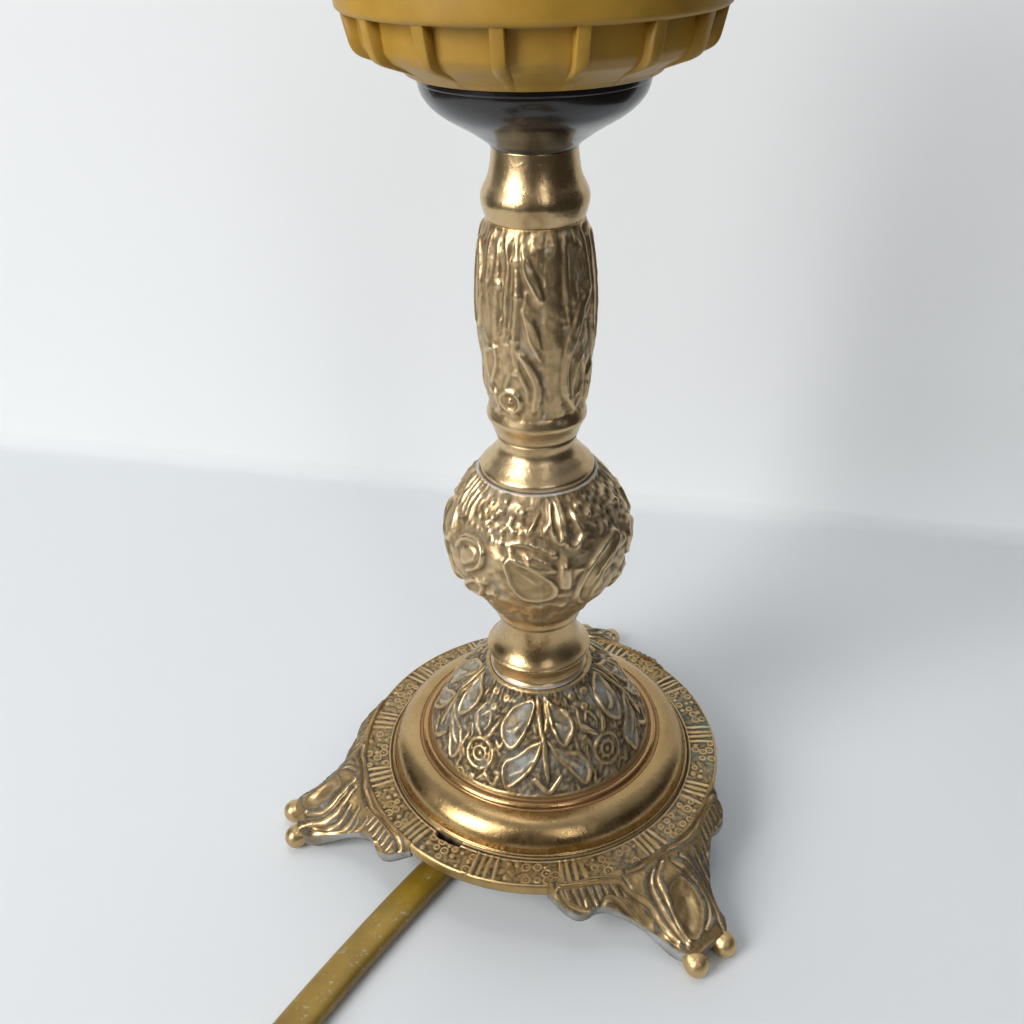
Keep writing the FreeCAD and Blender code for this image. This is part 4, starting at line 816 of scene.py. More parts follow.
def ring():
    """The ring. On its net, a level is a distance from the stem, so the ornament is laid out on
    its top. A joint runs round the dome, with a notch broken out of it near the front."""
    outer = ring_outline()
    net = Net(outer, 1040)
    net.level = np.where(outer[:, 0] < 37.95, outer[:, 0], 38.6 + (14.9 - outer[:, 1]) * 0.3)
    where = outer[:, 0][None]
    band = smooth((where - 32.9) / 0.3) * smooth((38.35 - where) / 0.3)
    ring_ornament(net)
    net.height *= 0.85 + 0.25 * drift(net, 5.0, 5) + 0.30 * drift(net, 1.7, 4)
    low = np.clip(1 - net.height / 0.10, 0, 1)
    rough = 0.24 * leafage(net, 1.15, 6) + 0.05 * drift(net, 0.8, 8)
    net.height += band * (rough * (0.25 + 0.75 * low) - 0.26)
    net.height += 0.03 * drift(net, 2.4, 9)
    gap = smooth((5.5 - np.abs(net.turn + 34.0)) / 1.5)[:, None]
    ragged = np.abs(where - 32.7 + 0.35 * drift(net, 0.9, 14)) - 0.35
    notch = gap * dip(np.clip(ragged, 0, 9), 0, 0.35)
    joint = dip(where, 32.45, 0.30)
    net.height -= 2.4 * notch + 0.35 * joint
    inner = [(28.0, RING_TOP), (27.1, 14.9), (26.5, 14.4), (26.5, 12.8), (26.9, 12.2), (27.6, 12.0),
             (30.0, 12.0), (33.0, 12.0), (37.4, 12.0), (38.3, 12.2), (38.6, 12.5)]
    green = smooth((25 - np.abs(net.turn - 92)) / 14)[:, None]
    thing = carved("base_ring", outer, inner, net,
                   {"soot": np.clip(notch * 1.5 + 0.7 * joint, 0, 1),
                    "grime": band * (0.22 + 0.45 * low), "verdigris": band * low * green,
                    "bloom": band * low * (0.12 + 0.25 * drift(net, 9.0, 10))})
    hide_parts("base_casting")
    return thing


base_ring = ring()
print("ring", len(base_ring.data.vertices), "points")

# %% What is drawn on a foot
FOOT_TURN = [0, 1.5, 4, 6.3, 7.2, 8.4, 10.4, 13.8, 16.6, 19.2, 22, 24.5, 27, 30, 32.5, 35]
FOOT_REACH = [54.0, 54.2, 54.6, 53.0, 51.0, 48.6, 46.2, 44.0, 42.8, 42.0, 41.8, 42.4, 42.4, 41.3,
              39.8, 38.3]
FOOT_EDGE = [4.9, 4.9, 4.9, 5.0, 5.2, 5.6, 6.4, 8.6, 10.2, 11.4, 11.3, 10.8, 10.9, 11.8, 12.8, 13.8]
# Lines of the carving, as (degrees from the foot's middle, distance from the stem).
SHELL = [(-13.5, 38.9), (-9.2, 39.1), (-5.7, 38.6), (0.5, 38.7), (4.7, 39.3), (12.2, 39.5),
         (19.4, 38.9), (25.3, 39.0), (30.2, 40.0), (29.8, 41.8), (26.7, 42.4), (21.0, 41.9)]
LOBE_TOP = [(-33.9, 38.7), (-28.7, 38.9), (-23.3, 38.9), (-17.1, 39.8), (-14.8, 41.4),
            (-11.6, 43.5), (-10.4, 45.5), (-9.5, 48.4), (-8.2, 51.5)]
LOBE_LOW = [(-33.0, 39.5), (-31.2, 41.0), (-26.8, 42.3), (-23.3, 42.6), (-21.1, 41.4),
            (-17.9, 42.0), (-14.9, 44.6), (-12.2, 48.2), (-10.0, 52.3)]
RIBS = [[(-6.5, 40.9), (-8.9, 42.7), (-8.7, 46.5), (-7.8, 50.2), (-6.9, 52.7)],
        [(-3.0, 40.3), (-6.6, 42.5), (-7.0, 46.0), (-7.1, 49.9), (-6.4, 52.3)],
        [(0.1, 40.9), (2.1, 44.5), (3.0, 48.2), (1.2, 50.9), (-1.4, 52.1)],
        [(3.2, 41.2), (5.2, 45.3), (4.4, 49.5), (2.5, 52.4), (2.0, 54.0)],
        [(9.0, 41.6), (9.0, 45.0), (7.0, 48.6), (4.6, 51.6)],
        [(14.0, 41.2), (13.0, 43.4), (10.8, 46.0)]]
BOSS = [(-1.2, 44.6), (-4.4, 45.2), (-7.0, 47.1), (-6.9, 49.3), (-4.6, 51.9), (-1.0, 50.1),
        (0.3, 47.4)]
TOES = (-6.2, 1.4)
TOE_REACH, TOE_RADIUS = 54.9, 2.35


class FootNet(Net):
    """The same carving, on a foot's own net of degrees by distance from the stem."""

    def __init__(self, turn, reach):
        self.turn, self.reach, self.per = turn, reach, 1e6
        self.height = np.zeros(reach.shape)
        self.scale = np.full(reach.shape[1], 46 * math.pi / 180)

    def place(self, points):
        return np.asarray(points, float)

    def run(self, columns):
        return self.reach[columns] * math.pi / 180, self.reach[columns]


def carve_foot(net, seed):
    """The shell under the rim, the two side scrolls, ribs that meet at the toes, and the boss."""
    net.height -= 0.15
    rng = np.random.default_rng(seed)
    net.stem(SHELL, 0.50, 0.85, 0.7, 44)
    net.stem(LOBE_TOP, 0.48, 0.60, 0.6, 36)
    net.stem(LOBE_LOW, 0.48, 0.55, 0.6, 36)
    lines = [flowing(rib, 9) for rib in RIBS]
    between = [(a + b) / 2 for a, b in zip(lines[:-1], lines[1:])]
    for rib in lines:
        net.stem(rib, 0.58, 0.80, 0.45, 24)
    for rib in between[:1] + between[2:]:
        net.stem(rib[1:-1], 0.36, 0.45, 0.35, 20)
    for turn in np.linspace(-32, -15, 9):
        net.stem([(turn, 39.5), (turn + 1.4 + rng.uniform(-0.4, 0.4), 41.6)], 0.34, 0.34, 0.5, 6)
    for turn in np.linspace(16, 27, 6):
        net.stem([(turn, 39.9), (turn - 0.8, 41.5)], 0.34, 0.30, 0.5, 6)
    net.pad(BOSS, 1.15, 1.8)
    wave = sum(np.sin(net.turn[:, None] * rng.uniform(0.2, 1.1) + net.reach * rng.uniform(0.5, 2.4)
                      + rng.uniform(0, 6)) for _ in range(6))
    fine = sum(np.sin(net.turn[:, None] * rng.uniform(2.5, 6) + net.reach * rng.uniform(-7, 7)
                      + rng.uniform(0, 6)) for _ in range(7))
    net.height += 0.035 * wave + 0.006 * fine


print("lines on a foot", 3 + len(RIBS), "and a boss")

# %% A foot
RIM = 15.35  # the height at which the feet's tops meet the ring
# How hollow and so on a foot is: on its sides and underside, at its two ends, and on its toes.
FOOT_VALUES = {"hollow": (0.35, 0.5, 0), "proud": (0, 0, 0.4), "bloom": (0.55, 0.5, 0),
               "grime": (0.5, 0.5, 0), "rough_cast": (1, 1, 0)}


def foot_outline(turn):
    """How far out the foot reaches at each bearing, and how high its edge is there."""
    lines = []
    for values in (FOOT_REACH, FOOT_EDGE):
        line = np.interp(np.abs(turn + 2.0), FOOT_TURN, values)
        for _ in range(3):
            line = np.convolve(np.pad(line, 2, "edge"), np.ones(5) / 5, "valid")
        lines.append(line[:, None])
    return lines


def foot_top(edge, r, q):
    """The foot's top falls from the rim to its edge: z = edge + (rim - edge) S(q), with q the share
    of the way in from its outline. Inside the ring it dips a little."""
    s = np.interp(q, [0, 0.05, 0.111, 0.278, 0.444, 0.667, 0.889, 1.0],
                  [0, 0.075, 0.14, 0.36, 0.58, 0.83, 0.97, 1.0])
    top = edge + (RIM - edge) * s
    return np.where(r < 38.4, np.minimum(top, RIM - smooth((38.4 - r) / 1.2) * 1.2), top)


def foot_under(edge, r, top):
    """The arch below the foot, which keeps clear of its top and its edge."""
    arch = np.interp(r, [36, 38, 41.1, 44.5, 47.8, 51.0], [12.6, 11.6, 9.2, 6.2, 3.2, 1.6])
    return np.maximum(np.minimum(arch, np.minimum(edge - 0.9, top - 1.4)), 1.2)


def toe_ball(bearing, start, around=40, rows=22):
    """A ball toe, a little flat where it stands and drawn back into the foot."""
    a = math.radians(bearing)
    out, side = np.array([math.cos(a), math.sin(a), 0]), np.array([-math.sin(a), math.cos(a), 0])
    turn, polar = np.meshgrid(np.arange(around) * math.tau / around,
                              np.linspace(0, math.pi, rows + 2)[1:-1], indexing="ij")
    x, y, z = np.sin(polar) * np.cos(turn), np.sin(polar) * np.sin(turn), -np.cos(polar)
    x = np.where(x < 0, x * 1.5, x)
    z = np.where(x < 0, z - 0.25 * x, z)
    centre = out * TOE_REACH
    ball = centre + TOE_RADIUS * (out * x[..., None] + side * y[..., None])
    ball[..., 2] = np.maximum(2.45 + 2.5 * z, 0.0)
    low = start + np.arange(around) * rows
    return (np.vstack([ball.reshape(-1, 3), centre, centre + (0, 0, 5.0)]),
            quads(around, rows, True, False, start),
            fans(low, low + rows - 1, start + around * rows))


def foot_values(net, loop, toe_points):
    """The numbers on a foot. Its carved top comes first, then its sides and underside, the two
    points that close its ends, and the toes."""
    sunk, proud = hollows(net.height)
    carving = {"hollow": sunk, "proud": proud, "bloom": 0.45 * sunk ** 2, "grime": 0.35,
               "rough_cast": 0}
    values = {}
    for label, (below, ends, toes) in FOOT_VALUES.items():
        rows = np.full(loop.shape[:2], float(below))
        rows[:, :net.height.shape[1]] = np.broadcast_to(carving[label], net.height.shape)[:, ::-1]
        values[label] = np.r_[rows.ravel(), ends, ends, np.full(toe_points, toes)]
    return values


def foot(name, bearing, seed, across=260, along=110):
    """A foot on a net of degrees round by distance out. Each row goes out over its top, down its
    side and in along its underside."""
    turn = np.linspace(-36.5, 32.5, across)
    reach, edge = foot_outline(turn)
    r = reach + (36.2 - reach) * np.linspace(0, 1, along)[None] ** 0.9
    q = np.clip((reach - r) / (reach - 38.0), 0, 1)
    top = foot_top(edge, r, q)
    under = foot_under(edge, r, top)
    net = FootNet(turn, r)
    carve_foot(net, seed)
    a = np.radians(turn + bearing)[:, None]
    at = lambda r, z: np.stack([r * np.cos(a), r * np.sin(a), z], -1)
    face = at(r, top)
    normal = -np.cross(np.gradient(face, axis=0), np.gradient(face, axis=1))
    normal /= np.linalg.norm(normal, axis=2)[:, :, None] + 1e-12
    lift = net.height * smooth(q / 0.03 + 0.2) * smooth((r - 37.2) / 1.4)
    face = face + normal * lift[..., None]
    sides = [at(reach + 0.22 * math.sin(math.pi * t) - 0.5 * t, edge * (1 - t) + under[:, :1] * t)
             for t in (0.25, 0.5, 0.75)]
    belly = at(r - 0.5 * (1 - q), under)
    loop = np.concatenate([face[:, ::-1]] + sides + [belly], 1)
    n, m = loop.shape[:2]
    k = np.arange(m)
    points, faces = [loop.reshape(-1, 3), loop.mean(1)[[0, -1]]], [quads(n, m, False, True)]
    ends = [fans(k, (n - 1) * m + k, n * m)]
    for toe in TOES:
        for kept, new in zip((points, faces, ends), toe_ball(bearing + toe, sum(map(len, points)))):
            kept.append(new)
    toe_points = sum(map(len, points[2:]))
    thing = piece(name, np.vstack(points), [np.vstack(faces), np.vstack(ends)],
                  values=foot_values(net, loop, toe_points))
    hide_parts("base_casting")
    return thing


feet = [foot("foot_front", 308.5, 1), foot("foot_left", 195.5, 2), foot("foot_back", 75.5, 3)]
print("feet", [len(f.data.vertices) for f in feet], "points")

# %% [markdown]
# ## Dome
# A quarter-round moulding, a flat step, and a bell of leaves: five stems come down from the top, and
# each opens into four long leaves; round flowers sit between the stems. The raised lines are rubbed
# bright, and a pale bloom lies in the leaves' beds.
# %% What is drawn on the dome
DOME_LEAVES = [
    [(-5.5, 37.6), (-11.1, 37.4), (-23.4, 36.1), (-27.6, 34.0), (-25.2, 32.0), (-17.6, 30.1),
     (-10.7, 32.4), (-6.5, 34.7), (-2.8, 36.8)],
    [(6.0, 37.8), (14.3, 36.6), (22.4, 35.7), (25.5, 34.1), (22.4, 32.5), (15.5, 30.8),
     (9.7, 33.3), (6.8, 35.7)],
    [(2.7, 32.3), (0.2, 30.0), (-4.1, 27.3), (-10.4, 24.9), (-17.1, 23.1), (-19.9, 24.9),
     (-21.3, 26.7), (-19.4, 28.2), (-14.2, 29.1), (-6.0, 31.2)],
    [(5.2, 32.0), (9.7, 30.8), (16.9, 29.8), (24.2, 29.2), (28.4, 27.1), (28.4, 24.8),
     (24.0, 23.4), (17.8, 26.0), (10.9, 28.8)],
]
DOME_STEMS = [
    [(-1.5, 37.9), (-0.1, 35.8), (1.8, 32.5)], [(6.0, 37.8), (6.8, 35.7), (4.5, 33.4)],
    [(2.2, 33.6), (3.2, 31.0), (3.6, 28.0), (4.4, 25.6)],
    [(-2.4, 25.4), (0.8, 24.1), (4.6, 23.1), (7.8, 23.9), (11.5, 25.7)],
    [(-12.0, 34.6), (-17.5, 33.2), (-22.0, 33.0)], [(12.0, 34.4), (17.5, 33.6), (21.5, 33.6)],
    [(-3.0, 29.0), (-9.0, 27.0), (-15.5, 25.6)], [(9.0, 30.0), (16.5, 28.0), (24.0, 26.4)],
    [(-30.0, 33.6), (-33.0, 31.6), (-36.3, 30.6)], [(30.5, 33.4), (35.0, 31.8), (38.5, 30.8)],
]
DOME_CURLS = [
    [(-44.5, 33.6), (-40.0, 34.6), (-36.0, 33.2), (-38.0, 31.8)],
    [(-31.0, 29.6), (-29.6, 26.4), (-31.6, 23.6)], [(-48.6, 29.8), (-49.6, 26.6), (-47.8, 24.2)],
    [(-34.0, 23.0), (-30.0, 24.4), (-26.0, 23.2)], [(-28.0, 30.8), (-24.6, 30.0), (-23.0, 31.4)],
    [(33.0, 29.6), (30.6, 31.4), (27.6, 31.0)], [(-46.0, 31.6), (-49.0, 33.4), (-46.6, 35.6)],
    [(34.0, 23.2), (30.0, 23.0), (31.0, 25.0)],
]
DOME_BERRIES = [(-42.4, 35.3), (-34.8, 37.0), (-40.3, 22.9), (30.0, 37.2)]
DOME_CENTRES = (-75.6, 3.0, 81.6, 149.2, 216.8)


def flower(net, middle, level=27.6):
    """A worn rosette: a broken outer ring, an inner ring and a dot."""
    net.ringlet((middle, level), 3.0, 0.42, 0.55, 0.05)
    net.ringlet((middle, level), 1.45, 0.34, 0.60, 0.34)
    spread = 1 / (22 * math.pi / 180)
    for k in range(9):
        a = k / 9 * math.tau + 0.3
        net.berry((middle + 2.2 * math.cos(a) * spread, level + 1.6 * math.sin(a)), 0.42, 0.34)


def carve_dome(net):
    """Five groups of leaves, each with its stems, a flower, berries and small curls."""
    for centre in DOME_CENTRES:
        at = lambda points: [(x - 3.0 + centre, z) for x, z in points]
        for leaf in DOME_LEAVES:
            net.leaf(at(leaf), 0.60, 0.50, 0.08)
        for line in DOME_STEMS:
            net.stem(at(line), 0.62, 0.62, 0.5)
        flower(net, centre - 39.3)
        for x, z in DOME_BERRIES:
            net.berry((x + centre, z), 0.9, 0.45, 0.2)
        for curl in DOME_CURLS:
            net.stem(at(curl), 0.40, 0.42, 0.4)


print("lines on the dome", len(DOME_CENTRES) * (len(DOME_LEAVES + DOME_STEMS + DOME_CURLS)))

# %% The dome
def dome_outline():
    """The quarter-round, the step above it, and the cone, as one line. Also gives how many of its
    points belong to the quarter-round."""
    arc = [(26.0 + 5.75 * math.cos(a), 15.25 + 5.75 * math.sin(a))
           for a in np.linspace(0.10, math.pi / 2 + 0.01, 30)]
    low = even([(32.05, 15.02), (32.2, 15.2), (32.18, 15.5), (31.85, 15.62)] + arc, 56)
    step = flowing([(26.0, 21.0), (25.75, 20.75), (25.35, 20.85), (25.1, 21.35), (24.6, 21.75),
                    (24.1, 21.72), (23.85, 21.5), (23.5, 21.75), (23.4, 22.0)], 40)
    cone = flowing([(23.4, 22.0), (22.5, 23.7), (20.2, 28.0), (17.1, 33.0), (13.6, 36.0),
                    (11.2, 38.2), (10.95, DOME_TOP)], 78)
    return np.vstack([low, even(step, 30)[1:], cone[1:]]), len(low)


def dome():
    """The dome. Its cone is carved; the moulding and step below it are turned and polished."""
    outer, low = dome_outline()
    level, index = outer[:, 1], np.arange(len(outer)) - low
    net = Net(outer, 576)
    carve_dome(net)
    cone_part = smooth((level - 22.3) / 0.5) * smooth((DOME_TOP - level) / 0.4)
    open_ground = np.clip(1 - net.height / 0.16, 0, 1) * (1 - net.bed)
    ground = 0.34 * leafage(net, 1.25, 11) + 0.05 * drift(net, 0.8, 12)
    worn = 0.80 + 0.35 * drift(net, 2.2, 15) + 0.18 * drift(net, 0.9, 18)
    net.height = net.height * worn + cone_part * (ground * (0.12 + 0.88 * open_ground)
                                                  + 0.05 * drift(net, 1.2, 16) - 0.22)
    net.height = net.height * cone_part + 0.02 * drift(net, 3.0, 13)
    inner = [(8.6, DOME_TOP), (8.4, 37.6), (9.6, 35.6), (14.4, 31.5), (18.6, 25.0), (20.9, 21.6),
             (23.4, 19.2), (25.4, 18.6), (28.2, 15.6), (28.6, 15.02), (31.6, 15.0)]
    joints = 0.75 * dip(index, 23.5, 2.2) + 0.35 * dip(index, 3.5, 2.5)
    thing = carved("dome", outer, inner, net, {
        # The moulding and step take the darker copy of the satin in full, a painted dark reflection.
        "polish": (index < 26) * 1.0,
        # Painted reflection: a coppery tint on the step, standing in for the carved cone reflected
        # there.
        "copper": smooth((index + 1) / 3) * (1 - smooth((index - 26) / 4)),
        "soot": np.clip(joints, 0, 1) + 0.30 * cone_part * open_ground * smooth(-net.height / 0.16),
        "grime": cone_part * (0.35 + 0.45 * open_ground),
        "bloom": cone_part * np.clip(0.95 * net.bed + 0.30 * open_ground
                                     + 0.35 * drift(net, 2.6, 17), 0, 1)})
    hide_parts("dome_casting")
    return thing


dome_piece = dome()
print("dome", len(dome_piece.data.vertices), "points")

# %% [markdown]
# ## Ball
# A turned spool below, then a ball cast with broad worn leaves, a flower, a bud and berries. The relief
# is low and soft from a century of polishing. It repeats on the far side.
# %% What is drawn on the ball
SPOOL = [(9.95, 38.6), (9.90, 39.1), (9.45, 39.4), (9.40, 40.6), (9.50, 41.5), (9.95, 41.7),
         (10.05, 42.1), (10.05, 42.5), (10.30, 42.65), (10.50, 43.0), (10.50, 43.4), (10.20, 43.6),
         (9.60, 44.1), (9.00, 44.9), (8.50, 45.9), (8.05, 47.2), (7.75, 48.6), (7.60, 50.0),
         (7.56, 51.0), (7.62, 51.5), (7.95, 51.7), (8.38, 51.85), (8.52, 52.2), (8.56, 53.0),
         (8.66, 53.8), (9.05, 54.5), (9.85, 55.3),
         (10.63, 56), (11.27, 57), (11.85, 58), (12.48, 59), (13.25, 60), (13.92, 61),
         (14.69, 62), (15.45, 63), (16.1, 64), (16.65, 65), (17.07, 66), (17.45, 68),
         (17.66, 70), (17.72, 72), (17.6, 73.3), (17.4, 74.4), (17.02, 75.4), (16.6, 76.3),
         (15.95, 77.8), (15.2, 79.3), (14.2, 80.8), (13.2, 82), (12.45, 83), (11.7, 84),
         (11.2, 84.7)]
BALL_LEAVES = [
    [(-20.8, 74.0), (-16.2, 75.3), (-5.2, 74.1), (8.3, 71.0), (11.4, 67.7), (3.0, 66.1),
     (-8.4, 66.5), (-15.9, 69.0)],
    [(-8.3, 75.8), (-0.4, 75.5), (8.5, 74.0), (10.3, 72.5), (1.6, 73.0), (-5.2, 74.1)],
    [(54.8, 76.6), (41.7, 74.9), (29.3, 71.8), (23.6, 67.5), (25.0, 64.0), (34.2, 62.8),
     (37.7, 67.3), (47.8, 71.3), (59.5, 75.2)],
    [(-53.6, 65.7), (-41.2, 68.6), (-35.0, 67.3), (-39.0, 64.5), (-50.9, 63.5)],
    [(8.9, 83.9), (15.9, 83.7), (17.3, 80.7), (17.3, 77.7), (12.3, 77.5), (7.7, 80.3)],
    [(70.0, 74.0), (79.0, 75.6), (86.0, 73.6), (87.0, 69.6), (78.0, 67.6), (70.0, 69.6)],
    [(-86.0, 79.0), (-77.0, 79.6), (-67.0, 77.6), (-66.0, 73.6), (-75.0, 71.6), (-84.0, 73.6)],
    [(-89.0, 70.0), (-78.0, 70.0), (-68.0, 68.8), (-64.0, 65.0), (-72.0, 62.6), (-85.0, 64.0)],
    [(63.0, 66.0), (74.0, 66.0), (80.0, 63.4), (72.0, 61.0), (62.0, 62.0)],
]
BALL_PADS = [
    ([(-54.9, 72.5), (-48.6, 75.2), (-40.2, 75.3), (-36.9, 73.9), (-39.9, 71.9), (-51.1, 69.9)],
     0.70),
    ([(12.1, 74.3), (19.6, 74.0), (20.3, 68.3), (11.9, 68.9)], 0.80),
    ([(-12.0, 62.5), (-4.0, 64.8), (6.0, 64.0), (8.0, 61.0), (-2.0, 59.6)], 0.55),
    ([(30.0, 63.0), (42.0, 64.6), (52.0, 63.6), (56.0, 60.6), (44.0, 59.4), (33.5, 60.2)], 0.5),
    ([(-34.0, 62.4), (-26.0, 63.4), (-18.0, 61.6), (-22.0, 58.8), (-31.0, 59.4)], 0.5),
]
BALL_RIDGES = [
    ([(-59.0, 72.8), (-52.0, 75.7), (-40.2, 76.1), (-34.3, 74.6), (-36.7, 71.8), (-49.4, 69.1)],
     0.65, 0.95),
    ([(1.0, 82.2), (-2.8, 80.8), (-6.4, 79.2)], 0.5, 0.9),
    ([(27.0, 81.9), (28.1, 80.3), (30.5, 78.5)], 0.55, 0.9),
    ([(32.0, 78.9), (28.3, 77.5), (24.0, 76.3)], 0.55, 0.8), ([(9.8, 80.9), (5.1, 79.7)], 0.5, 0.8),
    ([(17.0, 84.0), (18.6, 80.5), (18.4, 77.0)], 0.6, 1.0),
    ([(-17.9, 74.1), (-7.9, 72.3), (2.9, 69.2)], 0.38, 0.75),
    ([(53.2, 74.4), (42.5, 71.6), (32.8, 68.0)], 0.42, 0.85),
    ([(-24.0, 76.6), (-12.0, 77.6), (0.0, 77.0), (8.0, 76.0)], 0.5, 0.7),
    ([(60.0, 83.6), (64.0, 79.5), (62.0, 76.5)], 0.5, 0.8),
    ([(72.0, 72.0), (79.0, 72.0), (86.0, 71.0)], 0.4, 0.6),
    ([(-84.0, 77.0), (-76.0, 76.0), (-68.0, 75.4)], 0.4, 0.6),
]
BERRIES = [(-39.6, 82.7), (-29.5, 81.9), (-19.7, 81.3), (-24.8, 79.0), (-33.8, 80.7), (-27.7, 83.4),
           (-12.2, 82.1), (-16.7, 79.4), (-24.1, 77.4), (-41.2, 81.2), (-20.8, 80.3),
           (-12.8, 80.7), (-33.0, 78.6), (-37.5, 79.6), (-29.4, 77.4), (34.0, 82.4), (40.0, 80.8),
           (74.0, 79.6), (80.5, 81.4), (82.5, 78.2), (9.7, 75.8), (-33.9, 68.6), (-17.2, 76.1),
           (-32.2, 65.8), (-28.4, 66.3), (24.4, 65.3), (15.6, 63.9)]


def carve_ball(net):
    """Pads and leaves, the ridges over them, berries, and a fan of eight lines under the top."""
    for points, tall in BALL_PADS:
        net.pad(points, tall, 0.9)
    for points in BALL_LEAVES:
        net.leaf(points, 0.85, 0.62, 0.46, soft=0.6)
    for line, width, tall in BALL_RIDGES:
        net.stem(line, width, tall, 0.6, 16)
    for spot in BERRIES:
        net.berry(spot, 0.88, 0.68, 0.12)
    for k in range(8):
        x = -96.0 + 6.2 * k
        net.stem([(x, 84.4), (x + 0.8 - 0.4 * k, 81.6), (x + 4.0 - 0.8 * k, 78.6)],
                 0.34, 0.50, 0.6, 10)


print("leaves, ridges and berries on the ball", len(BALL_LEAVES), len(BALL_RIDGES), len(BERRIES))

# %% The ball
def ball():
    """The ball with its spool. The foot of the outline is turned; above that it is cast."""
    outer, around = flowing(SPOOL, 165), 560
    level = outer[:, 1]
    cast = smooth((level - 54.0) / 1.4) * smooth((84.65 - level) / 0.5)
    half = Net(outer, around // 2, 180.0)
    carve_ball(half)
    net = both_sides(half, outer, around)
    flat = np.clip(1 - net.height / 0.35, 0, 1)
    foliage = 0.80 * leafage(net, 2.9, 21) + 0.36 * leafage(net, 1.35, 22)
    low_part = 0.60 + 0.40 * smooth((level - 56) / 6)
    net.height = (net.height * 1.15 + foliage * (0.35 + 0.65 * flat) - 0.40) * cast * low_part
    off = (net.turn[:, None] + 90) % 180 - 90
    scaly = smooth((off - 38) / 8) * smooth((86 - off) / 8) * smooth((level - 75.0) / 1.5)
    pits = scaly * dip(grain(net, 1.8, 23), 0, 0.36) * cast
    net.height = blurred(net.height - 0.55 * pits, 1) + seam(net, cast)
    inner = [(10.6, BALL_TOP), (9.0, BALL_TOP), (8.2, 84.0), (12.0, 80.0), (14.4, 74.0),
             (14.4, 68.0), (12.0, 62.0), (8.0, 57.0), (5.4, 53.0), (5.4, 44.0), (6.4, 40.0),
             (7.2, 38.62), (10.3, DOME_TOP)]
    # Painted shadow: black in the waist just under the collar, at 51.55 mm. Also a dark line at the
    # spool's step, at 41.6 mm, and a darker band low on the ball, from about 55 to 58 mm.
    collar_shadow_and_dark_bands = (dip(level, 51.55, 0.36) + 0.5 * dip(level, 41.6, 0.15)
             + 0.30 * smooth((60.0 - level) / 3.5) * smooth((level - 54.4) / 0.8))
    thing = carved("ball", outer, inner, net, {
        # The turned spool takes part of the darker copy of the satin, a painted dark reflection.
        "polish": 0.8 - 0.8 * smooth((level - 53.6) / 0.9),
        "soot": 0.92 * collar_shadow_and_dark_bands + 0.7 * pits, "worn": cast,
        "lime": dip(level, 38.7, 0.35) + dip(level, 84.68, 0.14),
        "bloom": 0.25 * cast * smooth(-net.height / 0.25)})
    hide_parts("ball_segment")
    return thing


ball_piece = ball()
print("ball", len(ball_piece.data.vertices), "points")

# %% [markdown]
# ## Baluster
# A small spool with a rounded collar, then the slim baluster wrapped in long acanthus leaves, with a
# curled tip at the foot of each. Grooves follow the leaves' ribs.
# %% What is drawn on the baluster
STEM = [(10.45, 84.7), (10.54, 85.2), (10.5, 85.7), (10.2, 86.1), (9.3, 87), (8.45, 88), (7.61, 89),
        (7.22, 90), (7.19, 91), (7.36, 91.7), (7.05, 91.95), (7.05, 92.15), (7.62, 92.4),
        (7.80, 93), (8.16, 94), (8.65, 95), (8.98, 95.7),
        (9.02, 96.3), (8.85, 97), (8.66, 97.8), (8.6, 98.2), (8.79, 99), (8.99, 100), (9.2, 101),
        (9.31, 102), (9.44, 104), (9.61, 106), (9.87, 108), (10.12, 110), (10.28, 112),
        (10.27, 116), (10.24, 118), (10.15, 120), (10.04, 122), (9.8, 124), (9.58, 126),
        (9.31, 128), (9.04, 129), (8.66, 130), (8.15, 131)]
STEM_LEAVES = [
    [(-61.1, 110.2), (-44.8, 111.7), (-39.5, 110.6), (-42.9, 107.5), (-54.8, 103.9), (-62.3, 106.0)],
    [(-14.4, 119.0), (-8.0, 117.4), (-1.0, 114.0), (4.0, 109.6), (-1.3, 110.9), (-8.0, 113.8)],
    [(54.5, 119.2), (45.1, 117.2), (37.3, 113.8), (32.2, 108.8), (38.0, 110.8), (47.0, 114.8)],
    [(51.1, 110.4), (42.9, 107.8), (38.0, 102.6), (44.0, 99.2), (54.0, 100.6), (58.0, 106.0)],
    [(66.0, 129.0), (80.0, 129.6), (86.0, 122.0), (82.0, 112.0), (72.0, 108.0), (65.0, 116.0)],
    [(-88.0, 126.0), (-76.0, 128.6), (-66.0, 124.0), (-64.0, 116.0), (-74.0, 113.4), (-86.0, 117.0)],
    [(64.0, 105.0), (76.0, 106.6), (86.0, 103.0), (82.0, 99.0), (68.0, 98.8)],
    [(-13.0, 128.0), (-3.2, 125.6), (7.0, 121.0), (4.0, 119.6), (-6.0, 122.4), (-13.0, 125.0)],
]
